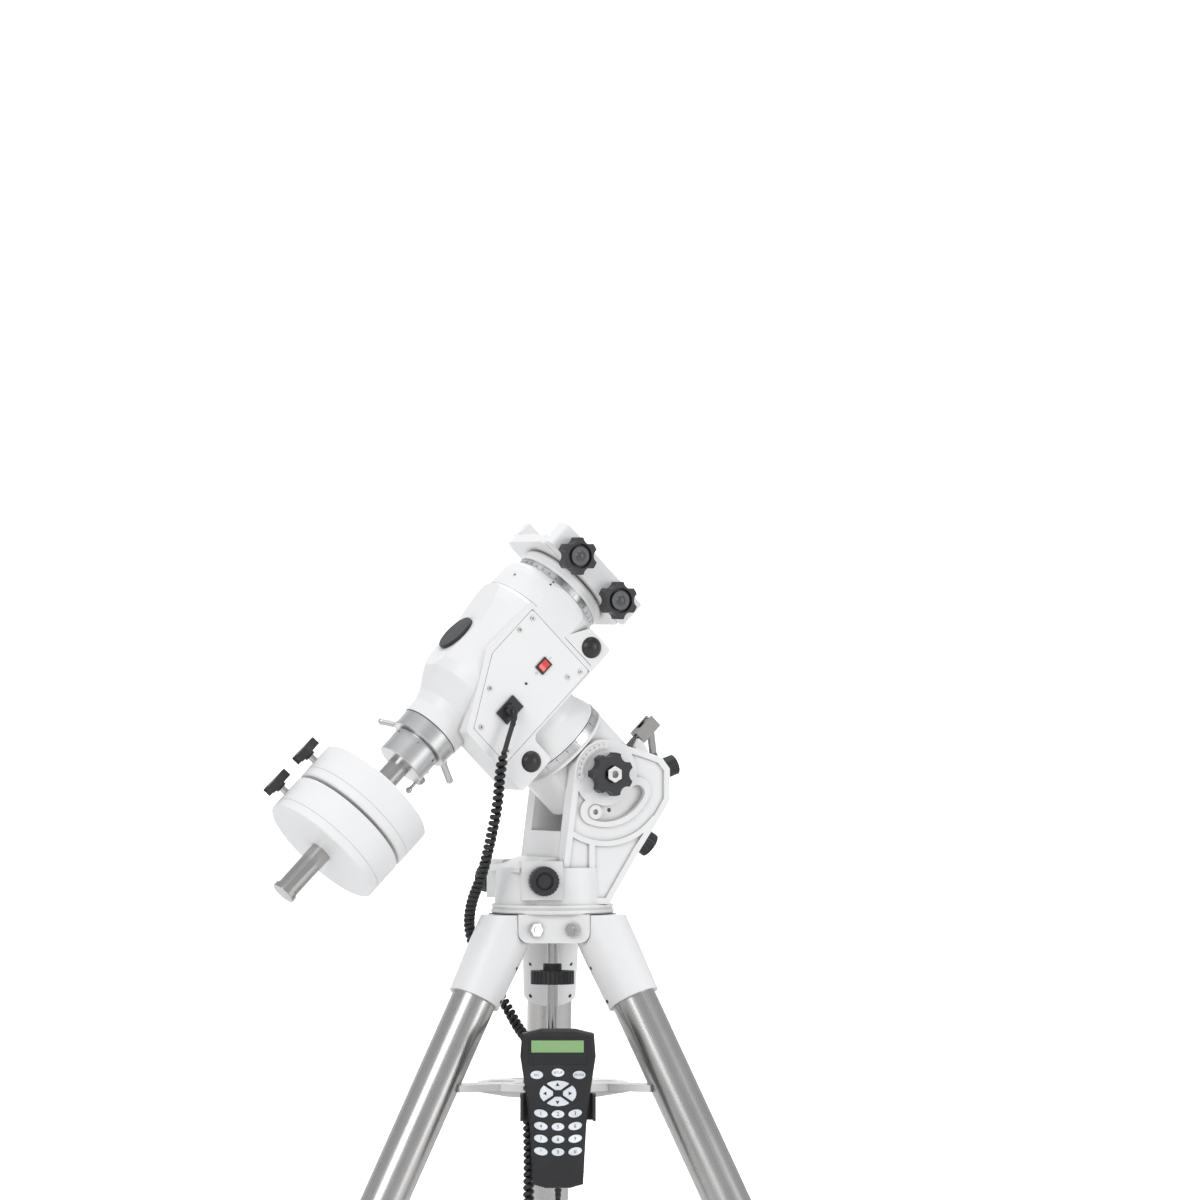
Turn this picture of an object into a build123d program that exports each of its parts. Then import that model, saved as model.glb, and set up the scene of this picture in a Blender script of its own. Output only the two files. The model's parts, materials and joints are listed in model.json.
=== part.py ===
"""A motorised equatorial mount on a steel tripod, with its counterweights and hand controller.

The row frame stands on the floor: the origin is under the azimuth axis, +Z is up, +X points
away from the pole and +Y is the mount's far side. The head stands at a latitude of 45 degrees.

Heights in the mount are counted from the altitude datum, DATUM above the floor. The tilted
head is drawn in a frame of its own (see HEAD): its x runs down the declination axis towards
the counterweights, its y towards the control panel, and its z up the polar axis.
"""

import os
from math import cos, pi, radians, sin, tan

from build123d import *

# ---------------------------------------------------------------- driving dimensions (mm)
DATUM = 920.0  # height of the altitude datum above the floor
LATITUDE = 45.0  # tilt of the polar axis, degrees
CROSS_X, CROSS_Z = -79.5, 115.0  # where the two axes cross, from the datum
RUN = 0.05  # radial clearance of a running fit
GAP = 0.3  # clearance between faces that pass each other

ALT_Z = -167.5  # altitude axis, along the polar axis from the crossing
TRUNNION_R = 15.0

ARM_OUT, ARM_IN = 59.0, 40.0  # fork arm faces, from the middle plane
ARM_CROWN = 38.5  # radius of the arm's head about the altitude axis
ARM_RIM, ARM_POCKET = 7.0, 3.0  # raised rim's width and height
GUIDE_R, GUIDE_W = 44.5, 18.0  # curved guide slot
GUIDE_FROM, GUIDE_SWEEP = -107.5, 78.6
WEB = 8.0

DRUM_R, DRUM_TOP, DRUM_FOOT = 65.0, -108.0, -149.0
FLANGE_R, FLANGE_FOOT = 69.0, -160.0
AZ_KNOB_R, AZ_KNOB_LONG, AZ_KNOB_AT, AZ_SKEW = 16.5, 17.0, 68.0, 18.0
AZ_CROSS_X, AZ_Z = -20.0, -122.0

DEC_BORE_R = 18.0  # declination shaft
RA_BORE_R = 17.0  # polar shaft
PANEL_Y, PANEL_THICK = 57.0, 1.2
SADDLE_HALF = 66.0  # half the saddle's length
SADDLE_FLOOR, SADDLE_LIP = -146.0, -164.0
BAR_W = 76.0  # width of a dovetail bar's narrow top
KNOB_PITCH = 70.0

SHAFT_R, SHAFT_FROM, SHAFT_TO = 12.5, 123.0, 352.0
WEIGHT_R, WEIGHT_W, WEIGHT_AT = 73.0, 45.0, (193.0, 242.0)
COLLAR_R, COLLAR_FROM, COLLAR_TO = 28.7, 121.0, 152.0
CLUTCH_R, CLUTCH_FROM, CLUTCH_TO = 35.5, 100.5, 120.5

LEG_AZ = (187.2, 307.2, 67.2)  # where the legs point, degrees from +X
LEG_TILT = 27.8  # from vertical, degrees
LEG_R, PIVOT_R, PIVOT_Z = 62.0, 50.0, -177.0  # leg axis and hinge bolt at the bolt's height
TUBE_R, TUBE_WALL = 25.4, 1.6
INNER_R, INNER_WALL = 22.0, 1.6
SOCKET_R, SOCKET_END_R, SOCKET_LONG = TUBE_R + 6.1, TUBE_R + 4.4, 88.0
TUBE_LONG, INNER_IN = 690.0, 480.0  # pivot to the end of the outer tube
HUB_TOP = -160.0
LUG_W, LUG_OUT, LUG_FOOT = 80.0, 60.0, -192.0

ROD_R, ROD_FOOT = 6.2, -462.0
TRAY_R, TRAY_Z, TRAY_THICK, TRAY_REACH = 84.0, -357.0, 8.0, 126.0
FACE_AZ = 245.4  # the side that the hand controller hangs on
HAND_R, HAND_SIDE, HAND_TOP, HAND_FOOT = 118.0, 6.2, -284.5, -460.5
HAND_W, HAND_FOOT_W, HAND_THICK = 84.0, 56.0, 27.0


CAP_R, CAP_BORE_R = 13.0, 19.0
CAP_AT = ((-88.0, -55.5), (54.0, -93.0))
SCREW_AT = (
    (-60.0, 19.0), (-40.0, 21.0), (-59.0, -65.0), (-44.0, -58.0), (32.0, 1.0), (70.0, -22.0), (66.0, -64.0),
)
SWITCH_AT = (-32.0, -28.0)
SOCKET_AT = (32.0, -33.0)
LAMP_AT = ((-3.0, -27.0), (21.0, -30.0))
WORM_WHEEL_R = 34.0
KNOB_X = -142.0
KNOB_Z = (KNOB_PITCH / 2, -KNOB_PITCH / 2)
LEVER_AT, LEVER_RAKE = (-52.6, -172.6), 0.35
SCREW_ANGLE, THUMB_ANGLE = -151.5, -14.0
TONGUE_HALF = 22.0
BOLT_R, BOLT_HALF = 4.0, 49.5
EYEPIECE_R = 15.9
CRANK_LEAN, CRANK_Z = 128.0, 28.0  # the handle's hang and its pivot, from the yoke
REAR_KNOBS = (  # foot of the grip, the way it points and the grip's radius
    ((138.3, 0, 0.5), (0.94, 0, 0.34), 11.5, "upper"),
    ((109.0, 0, -78.0), (0.83, 0, -0.56), 14.0, "lower"),
)
COIL_R = 6.5
CORD_ROUTE = (  # from under the port's plug, behind the left leg, to the controller's foot
    (-81, -70, 972), (-90, -73, 950), (-97, -72, 922), (-98, -69, 886), (-100, -54, 846),
    (-99, -28, 804), (-98, 8, 770), (-86, 38, 736), (-62, 52, 698), (-41, 42, 660),
    (-35, 18, 632), (-33, -9, 616), (-36, -37, 615), (-49, -59, 612), (-61.5, -72, 588),
    (-63, -72.5, 540), (-62, -73.5, 488), (-63, -73, 440), (-63, -73.3, 403),
    (-53.3, -91.5, 391), (-43.6, -110, 403), (-43.6, -110.2, 458.5),
)
SEAM_X = -73.0  # the joint between the upper end cap and the casting
PEG_R, STUD_R = 7.0, 5.0
FROM_FOOT = (Align.CENTER, Align.CENTER, Align.MIN)


# ---------------------------------------------------------------- frames and small helpers
def cosd(a):
    return cos(radians(a))


def sind(a):
    return sin(radians(a))


POLE = Vector(-cosd(LATITUDE), 0, sind(LATITUDE))
DOWN = Vector(-sind(LATITUDE), 0, -cosd(LATITUDE))
CROSS = Vector(CROSS_X, 0, DATUM + CROSS_Z)
HEAD = Plane(origin=CROSS, x_dir=DOWN, z_dir=POLE).location
ALT = CROSS + POLE * ALT_Z  # a point on the altitude axis
JACK_END = Vector(101.0, 0, DATUM + 31.0)  # where the altitude screw leaves its yoke


def rod(r, a, b, axis="z", at=(0, 0)):
    """A cylinder from a to b along one axis; at is its place in the other two, in order."""
    body = Pos(0, 0, a) * Cylinder(r, b - a, align=(Align.CENTER, Align.CENTER, Align.MIN))
    if axis == "x":
        return Pos(0, at[0], at[1]) * Rot(0, 90, 0) * body
    if axis == "y":
        return Pos(at[0], 0, at[1]) * Rot(-90, 0, 0) * body
    return Pos(at[0], at[1], 0) * body


def block(x0, x1, y0, y1, z0, z1):
    return Pos(x0, y0, z0) * Box(
        x1 - x0, y1 - y0, z1 - z0, align=(Align.MIN, Align.MIN, Align.MIN)
    )


def slab(points, y0, y1, r=0.0):
    """A plate with its outline in x and z, from y0 to y1; r rounds its corners."""
    face = Pos(0, y0, 0) * (Plane.XZ * outline(points, r))
    return extrude(face, amount=y1 - y0, dir=(0, 1, 0))


def outline(points, r=0.0):
    face = make_face(Polyline(*points, close=True))
    return fillet(face.vertices(), r) if r else face


def plate(points, z0, z1, r=0.0):
    """A plate with its outline in x and y."""
    return Pos(0, 0, z0) * extrude(outline(points, r), amount=z1 - z0)


def turned(profile, axis="z"):
    """A turned solid; profile holds (place along the axis, radius)."""
    ends = [(profile[0][0], 0.0), (profile[-1][0], 0.0)]
    pts = [(r, a) for a, r in [ends[0], *profile, ends[1]]]
    body = revolve(Plane.XZ * make_face(Polyline(*pts, close=True)), Axis.Z)
    return Rot(0, 90, 0) * body if axis == "x" else body


def lobed(r, dent, lobes, thick, phase=0.0):
    """A hand knob's head: a disc with finger dents round its edge, from z=0 up."""
    body = Cylinder(r, thick, align=(Align.CENTER, Align.CENTER, Align.MIN))
    for k in range(lobes):
        a = phase + 360 * (k + 0.5) / lobes
        body -= Pos((r + dent * 0.45) * cosd(a), (r + dent * 0.45) * sind(a), -1) * Cylinder(
            dent, thick + 2, align=(Align.CENTER, Align.CENTER, Align.MIN)
        )
    return body


def knurled(r, thick, teeth=24, depth=0.9):
    """A grip with straight flutes, from z=0 up, and a recess in its outer end."""
    body = Cylinder(r, thick, align=(Align.CENTER, Align.CENTER, Align.MIN))
    flutes = [
        Pos(r * cosd(360 * k / teeth), r * sind(360 * k / teeth), thick / 2)
        * Cylinder(depth, thick + 2)
        for k in range(teeth)
    ]
    body -= flutes
    body -= Pos(0, 0, thick - 1.5) * Cylinder(r * 0.62, 4)
    return body + Pos(0, 0, thick - 3) * Cylinder(r * 0.45, 3)


def towards(origin, direction):
    """The location whose z axis points along direction."""
    return Plane(origin=origin, z_dir=direction).location


def polar(r, a):
    return r * cosd(a), r * sind(a)


def one(shape):
    """The shape as a plain solid where it is a single one."""
    solids = shape.solids()
    return solids[0] if len(solids) == 1 else Compound(children=list(solids))


NODES = {}


def keep(name, shape, where=None):
    shape = one(shape)
    NODES[name] = where * shape if where else shape


# ---------------------------------------------------------------- tripod
def lug_room(grow):
    """The room that the hub's plates take; grow is the clearance round them."""
    room = rod(58.0 + grow, -174.0 - grow, HUB_TOP + 20)
    room += rod(30.0 + grow, LUG_FOOT + 6 - grow, -172)
    for az in LEG_AZ:
        half = LUG_W / 2 + grow
        lug = block(28.0 - grow, LUG_OUT + grow, -half, half, LUG_FOOT - grow, HUB_TOP)
        low = lug.edges().filter_by(Axis.X).group_by(Axis.Z)[0]
        room += Rot(0, 0, az + 60) * fillet(low, 12)
    return room


def tongue(grow):
    """The part of a leg's casting that the hinge bolt holds, between two lugs."""
    return block(34.0 - grow, 70, -TONGUE_HALF - grow, TONGUE_HALF + grow, -191 - grow, -166.0)


def hub():
    body = lug_room(0) & rod(80, LUG_FOOT - 1, HUB_TOP)
    for az in LEG_AZ:
        body -= Rot(0, 0, az) * tongue(GAP)
        body -= Rot(0, 0, az) * rod(BOLT_R + GAP, -70, 70, "y", (PIVOT_R, PIVOT_Z))
    body += rod(PEG_R, HUB_TOP - 2, HUB_TOP + 26, at=(AZ_CROSS_X, 0))
    return body - rod(ROD_R + GAP, -200, -150)


def hub_bolts():
    """Six hexagon heads: each hinge bolt shows a head on one lug and a nut on the other."""
    bolts = []
    for az in LEG_AZ:
        bolt = rod(BOLT_R, -BOLT_HALF, BOLT_HALF, "y", (PIVOT_R, PIVOT_Z))
        for side in (-1, 1):
            head = extrude(RegularPolygon(8.0, 6), amount=6.5)
            bolt += Pos(PIVOT_R, side * (BOLT_HALF - 7.5), PIVOT_Z) * Rot(-90 * side, 0, 0) * head
        bolts.append(Pos(0, 0, DATUM) * Rot(0, 0, az) * one(bolt - lug_room_turned(az)))
    return Compound(children=bolts)


def lug_room_turned(az):
    """The hub's lugs as one leg's own frame sees them, less the bolt's hole."""
    bolt_room = rod(BOLT_R + GAP, -90, 90, "y", (PIVOT_R, PIVOT_Z))
    return Rot(0, 0, -az) * (lug_room(0.02) - Rot(0, 0, az) * bolt_room)


def leg_frame(az):
    """The frame of one leg: z runs down its axis, x points away from the tripod's middle."""
    out = Vector(cosd(az), sind(az), 0)
    start = out * LEG_R + Vector(0, 0, PIVOT_Z + DATUM)
    down = out * sind(LEG_TILT) - Vector(0, 0, cosd(LEG_TILT))
    return Plane(origin=start, x_dir=out * cosd(LEG_TILT) + Vector(0, 0, sind(LEG_TILT)), z_dir=down).location


def leg_socket(az):
    cone = turned([(-40, SOCKET_R), (30, SOCKET_R), (SOCKET_LONG, SOCKET_END_R)])
    cone = leg_frame(az) * cone
    ears = Pos(0, 0, DATUM) * Rot(0, 0, az) * (tongue(0) & rod(70, -195, -166))
    cone &= Pos(0, 0, DATUM) * rod(200, -300, HUB_TOP - 1.0)
    cone -= Pos(0, 0, DATUM) * lug_room(0.6)
    cone += ears
    cone -= Pos(0, 0, DATUM) * Rot(0, 0, az) * rod(BOLT_R, -60, 60, "y", (PIVOT_R, PIVOT_Z))
    cone -= leg_frame(az) * rod(TUBE_R, 26, 120)
    return max(cone.solids(), key=lambda s: s.volume)


def leg_tube():
    tube = rod(TUBE_R, 26, TUBE_LONG) - rod(TUBE_R - TUBE_WALL, 25, TUBE_LONG + 1)
    return tube


def leg_clamp():
    """The clamp that closes the outer tube's end round the inner one, with its knob's boss."""
    body = turned([(TUBE_LONG - 42, TUBE_R + 3.6), (TUBE_LONG - 38, TUBE_R + 5.1),
                   (TUBE_LONG + 22, TUBE_R + 5.1), (TUBE_LONG + 26, TUBE_R + 2.6)])
    body += rod(11, 24, 42, "x", (0, TUBE_LONG + 11))
    body -= rod(TUBE_R, TUBE_LONG - 60, TUBE_LONG)
    body -= rod(INNER_R + RUN, TUBE_LONG - 1, TUBE_LONG + 40)
    return body - rod(4 + RUN, 0, 60, "x", (0, TUBE_LONG + 11))


def leg_lock_knob():
    head = Pos(43, 0, TUBE_LONG + 11) * Rot(0, 90, 0) * lobed(17, 7, 5, 15)
    return head + rod(4, INNER_R + 0.4, 45, "x", (0, TUBE_LONG + 11))


def leg_inner(foot):
    top = TUBE_LONG - INNER_IN
    tube = rod(INNER_R, top, foot) - rod(INNER_R - INNER_WALL, top - 1, foot + 1)
    return tube


def leg_foot(az, foot):
    """A moulded foot over the inner tube's end, cut level where it stands on the floor."""
    cup = turned([(foot - 36, 25.5), (foot - 6, 25.5), (foot + 40, 21)])
    cup -= rod(INNER_R, foot - 40, foot)
    cup = leg_frame(az) * cup
    return cup & block(-900, 900, -900, 900, 0, 400)


def tripod():
    up = Pos(0, 0, DATUM)
    keep("tripod_hub", hub(), up)
    keep("hub_bolts", hub_bolts())
    foot = (DATUM + PIVOT_Z) / cosd(LEG_TILT) - 22.0
    frames = [leg_frame(az) for az in LEG_AZ]
    keep("leg_sockets", Compound(children=[leg_socket(az) for az in LEG_AZ]))
    keep("leg_tubes", Compound(children=[where * one(leg_tube()) for where in frames]))
    keep("leg_clamps", Compound(children=[where * one(leg_clamp()) for where in frames]))
    for k, az in enumerate(LEG_AZ, 1):
        keep(f"leg_{k}_lock_knob", leg_lock_knob(), leg_frame(az))
        inner = leg_frame(az) * one(leg_inner(foot))
        keep(f"leg_{k}_lower", Compound(children=[inner, one(leg_foot(az, foot))]))


def rod_and_tray():
    up = Pos(0, 0, DATUM)
    keep("centre_rod", rod(ROD_R, ROD_FOOT, FLANGE_FOOT + 22), up)
    wheel = rod(10.5, -224.5, -217) + Pos(0, 0, -240) * knurled(24.5, 15.0, 30, 1.0)
    keep("rod_knob", wheel - rod(ROD_R, -250, -200), up)
    disc = rod(TRAY_R, TRAY_Z, TRAY_Z + TRAY_THICK)
    for az in LEG_AZ:
        arm = [(0, -34), (70, -20), (TRAY_REACH + 10, -24), (TRAY_REACH + 10, 24), (70, 20), (0, 34)]
        disc += Rot(0, 0, az) * plate(arm, TRAY_Z, TRAY_Z + TRAY_THICK)
        web = slab([(12, TRAY_Z - 12), (60, TRAY_Z - 8), (112, TRAY_Z + 1), (12, TRAY_Z + 1)], -2.5, 2.5)
        disc += Rot(0, 0, az) * web
    for az in LEG_AZ:
        leg = Pos(0, 0, -DATUM) * leg_frame(az) * rod(TUBE_R + GAP, 100, 400)
        disc -= leg
        for side in (-1, 1):
            x, y = polar(57, az + 60 + 30 * side)
            disc -= rod(EYEPIECE_R, -400, -300, at=(x, y))
    disc += rod(16, TRAY_Z - 13, TRAY_Z + 1)
    keep("spreader_tray", max((disc - rod(ROD_R + RUN, -400, -300)).solids(), key=lambda s: s.volume), up)
    nut = Pos(0, 0, TRAY_Z - 13 - GAP - 16) * lobed(19, 8, 6, 10)
    nut += rod(9, TRAY_Z - 13 - GAP - 10, TRAY_Z - 13 - GAP)
    keep("tray_knob", nut - rod(ROD_R + RUN, -450, -300), up)


# ---------------------------------------------------------------- azimuth base and fork
def arm_outline(inset=0.0):
    """The fork arm seen from the side: a crowned head leaning back over the drum."""
    x, z = ALT.X, ALT.Z - DATUM
    pts = [(-19, -149), (0.5, z), (x, z + ARM_CROWN), (56, 30), (84, 22.5), (108, 14.5),
           (118, 2), (118, -33), (109, -48), (79, -92), (43, -149)]
    face = make_face(Polyline(*pts, close=True)) + Pos(x, z) * Circle(ARM_CROWN)
    return offset(face, -inset, kind=Kind.INTERSECTION) if inset else face


def arm_plate(face, y0, y1):
    """Raises a face drawn in x and z into a plate from y0 to y1."""
    solid = extrude(Plane.XZ * face, amount=1, dir=(0, 1, 0))
    return Pos(0, y0, 0) * scale_y(solid, y1 - y0)


def scale_y(solid, k):
    return scale(solid, by=(1, k, 1))


def arc_band(r, start, sweep, width):
    return SlotArc(CenterArc((0, 0), r, start, sweep), width)


def fork_arm(side):
    """One arm; side is -1 for the near arm and +1 for the far one."""
    x, z = ALT.X, ALT.Z - DATUM
    centre = Pos(x, z)
    arm = arm_plate(arm_outline(), ARM_IN, ARM_OUT)
    pocket = arm_outline(ARM_RIM)
    pocket -= centre * Circle(ARM_CROWN)
    pocket -= centre * arc_band(GUIDE_R, GUIDE_FROM - 4, GUIDE_SWEEP + 8, GUIDE_W + 12)
    pocket -= centre * arc_band(78.0, -135, 95, 6)
    pocket -= Pos(22, -115) * Rectangle(7, 76)
    arm -= arm_plate(pocket, ARM_OUT - ARM_POCKET, ARM_OUT + 1)
    slot = centre * arc_band(GUIDE_R, GUIDE_FROM, GUIDE_SWEEP, GUIDE_W)
    arm -= arm_plate(slot, ARM_OUT - 9, ARM_OUT + 1)
    arm -= rod(2.4, ARM_OUT - 14, ARM_OUT, "y", (x + 41.4 * cosd(-79), z + 41.4 * sind(-79)))
    arm -= rod(TRUNNION_R + RUN, 0, 90, "y", (x, z))
    return arm if side > 0 else mirror(arm, Plane.XZ)


def azimuth_dir(side):
    return Vector(-sind(AZ_SKEW), side * cosd(AZ_SKEW), 0)


def base_casting():
    body = turned([(FLANGE_FOOT, FLANGE_R - 1.5), (FLANGE_FOOT + 1.5, FLANGE_R), (-155.5, FLANGE_R),
                   (-154.5, FLANGE_R - 1.6), (-153.5, FLANGE_R - 1.6), (-152.5, FLANGE_R - 0.6),
                   (-150, FLANGE_R - 0.6), (DRUM_FOOT, DRUM_R), (DRUM_TOP, DRUM_R - 1.5)])
    body += slab([(-61, DRUM_TOP - 5), (-61, DRUM_TOP), (-22, DRUM_TOP + 11), (-10, DRUM_TOP + 11),
                  (-10, DRUM_TOP - 5)], -44, 44)
    for side in (-1, 1):
        body += fork_arm(side)
        pad = azimuth_dir(side)
        seat = Plane(origin=Vector(AZ_CROSS_X, 0, AZ_Z) + pad * (AZ_KNOB_AT - 16), z_dir=pad, x_dir=(0, 0, 1))
        body += seat.location * Box(43, 46 if side < 0 else 32, 26)
    body += slab([(-19, -149), (-8.5, -68), (3, -68), (-4, -149)], -ARM_IN - 1, ARM_IN + 1)
    body += slab([(118, 0), (118, -33), (109, -48), (79, -92), (43, -149), (32, -149), (70, -90),
                  (99, -46), (108, -31), (108, 2)], -ARM_IN - 1, ARM_IN + 1)
    body -= rod(46, FLANGE_FOOT - 1, FLANGE_FOOT + 30)
    body += rod(20, FLANGE_FOOT + 1, FLANGE_FOOT + 31)
    body -= rod(ROD_R + RUN, -200, FLANGE_FOOT + 23)
    body -= arc_room()
    for side in (-1, 1):
        body -= azimuth_bore(side)
    body += slab([(97, 26), (102, 35), (107, 31), (113, 22), (118, 1), (108, 1)], -12, 12)
    for at, way, _, _ in REAR_KNOBS:
        seat = towards(Vector(*at) - Vector(*way) * 26, Vector(*way))
        body += seat * rod(7.0, 0, 26 - GAP)
        body -= seat * rod(4.0 + RUN, -6, 60)
    return body - towards(JACK_END - Vector(0, 0, DATUM), -DOWN) * rod(5.0 + RUN, -40, 40)


def arc_room():
    """The slot that the azimuth peg needs inside the turning base."""
    return block(AZ_CROSS_X - 13, AZ_CROSS_X + 9, -13, 13, FLANGE_FOOT - 1, FLANGE_FOOT + 46)


def azimuth_bore(side):
    d = azimuth_dir(side)
    return towards(Vector(AZ_CROSS_X, 0, AZ_Z) + d * 6, d) * rod(5.0 + RUN, 0, 90)


def azimuth_screw(side):
    """A knurled azimuth screw: its tip bears on the peg."""
    d = azimuth_dir(side)
    screw = rod(5.0, 10.0, AZ_KNOB_AT) + Pos(0, 0, AZ_KNOB_AT) * knurled(AZ_KNOB_R, AZ_KNOB_LONG)
    return towards(Vector(AZ_CROSS_X, 0, AZ_Z), d) * screw


def fork():
    up = Pos(0, 0, DATUM)
    x, z = ALT.X, ALT.Z - DATUM
    keep("fork_base", base_casting(), up)
    nuts = []
    for side, name in ((-1, "near"), (1, "far")):
        keep(f"azimuth_knob_{name}", azimuth_screw(side), up)
        star = lobed(24.5, 9, 7, 15, 12) - Pos(0, 0, 11) * Cylinder(9.8, 10, align=FROM_FOOT)
        star += Pos(0, 0, -4) * Cylinder(13, 5, align=(Align.CENTER, Align.CENTER, Align.MIN))
        nut = extrude(RegularPolygon(9.4, 6), amount=8) - Pos(0, 0, 5) * Cylinder(4.2, 8)
        face = towards(Vector(x, side * (ARM_OUT + 5), z), Vector(0, side, 0))
        star -= Cylinder(STUD_R + RUN, 60)
        keep(f"altitude_star_knob_{name}", star, up * face)
        nut += Pos(0, 0, -33) * Cylinder(STUD_R, 34, align=FROM_FOOT)
        nuts.append(up * face * Pos(0, 0, 11 + GAP) * one(nut))
    keep("altitude_nuts", Compound(children=nuts))
    guide = []
    scale_plates = []
    for side in (-1, 1):
        gx, gz = x + GUIDE_R * cosd(GUIDE_FROM), z + GUIDE_R * sind(GUIDE_FROM)
        pin = towards(Vector(gx, side * (ARM_OUT - 9), gz), Vector(0, side, 0))
        head = Cylinder(8.6, 10.5, align=FROM_FOOT) - Pos(0, 0, 9.9) * (Cylinder(9, 2) - Cylinder(7.8, 2))
        head -= Pos(0, 0, 7) * extrude(RegularPolygon(3.4, 6), amount=6)
        guide.append(up * pin * one(head))
        band = SlotArc(CenterArc((0, 0), 31.5, 92, 92), 8)
        strip = one(arm_plate(Pos(x, z) * band, ARM_OUT, ARM_OUT + 1.2))
        scale_plates.append(up * (strip if side > 0 else mirror(strip, Plane.XZ)))
    keep("guide_bolts", Compound(children=guide))
    keep("latitude_scales", Compound(children=scale_plates))
    for at, way, grip, name in REAR_KNOBS:
        knob = rod(4.0, -30, 2) + knurled(grip, 14, 20, 0.8)
        keep(f"rear_knob_{name}", towards(Vector(*at) + Vector(*way) * GAP, Vector(*way)) * knob, up)
    jack()


def jack():
    """The altitude screw with its folding crank handle, on the slant behind the fork."""
    screw = rod(5.0, -8, 8)
    fork_end = block(-7.5, 7.5, -8.5, 8.5, 6, CRANK_Z + 6) - block(-9, 9, -4.2, 4.2, 15, 40)
    fork_end -= rod(2.5 + RUN, -20, 20, "y", (0, CRANK_Z))
    where = towards_y(JACK_END, -DOWN)
    keep("altitude_screw", screw + fork_end, where)
    handle = rod(7.0, -3.9, 3.9, "y", (0, 0)) + block(-3.2, 3.2, -3.4, 3.4, 0, 34)
    handle += Pos(0, 0, 36) * Sphere(5.2)
    handle += rod(2.5, -8.4, 8.4, "y", (0, 0))
    keep("crank_handle", Pos(0, 0, CRANK_Z) * Rot(0, CRANK_LEAN, 0) * handle, where)


def towards_y(origin, direction):
    """As towards, with the frame's y along the row's +Y."""
    d = Vector(*direction)
    return Plane(origin=origin, x_dir=Vector(0, 1, 0).cross(d), z_dir=d).location


# ---------------------------------------------------------------- polar axis housing
def ra_housing():
    body = turned([(-124.3, 57.0), (-126, 58.0), (-128, 58.0), (-129, 57.0),
                   (-176, 57.0), (-184, 50), (-188, 40)])
    keep_in = block(-90, 90, -ARM_IN + GAP, ARM_IN - GAP, -200, -127.9) + rod(80, -127.9, -120)
    body &= keep_in
    body += rod(TRUNNION_R, -ARM_OUT - 0.5, ARM_OUT + 0.5, "y", (0, ALT_Z))
    for y in (-ARM_OUT - 1, ARM_OUT - 19):
        body -= rod(STUD_R, y, y + 20, "y", (0, ALT_Z))
    body -= rod(RA_BORE_R + RUN, -200, -100)
    body -= rod(WORM_WHEEL_R + 2, -146, -128)
    return body


def ra_head():
    """The casting that turns on the polar axis and carries the declination axis."""
    body = turned([(SEAM_X - 2, 62), (-68, 66.0), (-55, 66.0), (-12, 61.5), (34, 58.5), (46, 55), (58, 48),
                   (72, 40), (84, 37), (100, 36.5)], "x")
    body &= slab([(-200, -80), (-200, 70), (SEAM_X, 63), (-24, 54), (200, 54), (200, -80)], -64, PANEL_Y)
    body += turned([(-113.7, 56.5), (-108, 55.5), (-92, 50), (-60, 49), (0, 49)])
    side = slab([(-103, -75), (-103, -40), (-72.7, -22), (-72.7, 34), (4, 34), (86, -13), (86, -109),
                 (34, -109), (34, -80), (28, -75)], 4, PANEL_Y, 5)
    body += side
    body += slab([(-72.7, -70), (-72.7, 30), (0, 30), (70, -10), (70, -62)], -50, 5, 9)
    body += dec_end_cap()
    body -= rod(90, SEAM_X - 0.3, SEAM_X + 0.3, "x") - rod(61.6, -90, -60, "x")
    body -= slab(panel_outline(0.5), PANEL_Y - PANEL_THICK, PANEL_Y + 1)
    for (x, z), w, h in ((SWITCH_AT, 8.2, 6.2), (SOCKET_AT, 14, 9)):
        body -= block(x - w, x + w, PANEL_Y - 12, PANEL_Y + 1, z - h, z + h)
    body -= block(-58, 70, 20, PANEL_Y - PANEL_THICK - 2, -62, -20) & slab(panel_outline(-12), 10, 60)
    for x, z in CAP_AT:
        body -= rod(CAP_R - 2, PANEL_Y - 12, PANEL_Y + 1, "y", (x, z))
    body -= rod(DEC_BORE_R + RUN, -130, 130, "x")
    body -= rod(WORM_WHEEL_R + 2, -66, -48, "x")
    body -= rod(RA_BORE_R, -130, -70)
    body -= rod(CAP_BORE_R, 30, 70)
    for x, z in SCREW_AT:
        body -= rod(1.5, PANEL_Y - 12, PANEL_Y + 1, "y", (x, z))
    return body


def panel_outline(shrink):
    """The control panel's outline; shrink below zero insets it."""
    s = shrink
    return [(-67 - s, -72 - s), (-67 - s, 26 + s), (2 + 0.5 * s, 26 + s),
            (77 + s, -17 + 0.6 * s), (77 + s, -72 - s)]


def dec_end_cap():
    body = turned([(-112, 54.5), (-109, 59), (-104, 62.0), (-98, 62.5), (SEAM_X - 1, 62.5)], "x")
    return body & block(-200, 200, -64, PANEL_Y, -70, 70)


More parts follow.
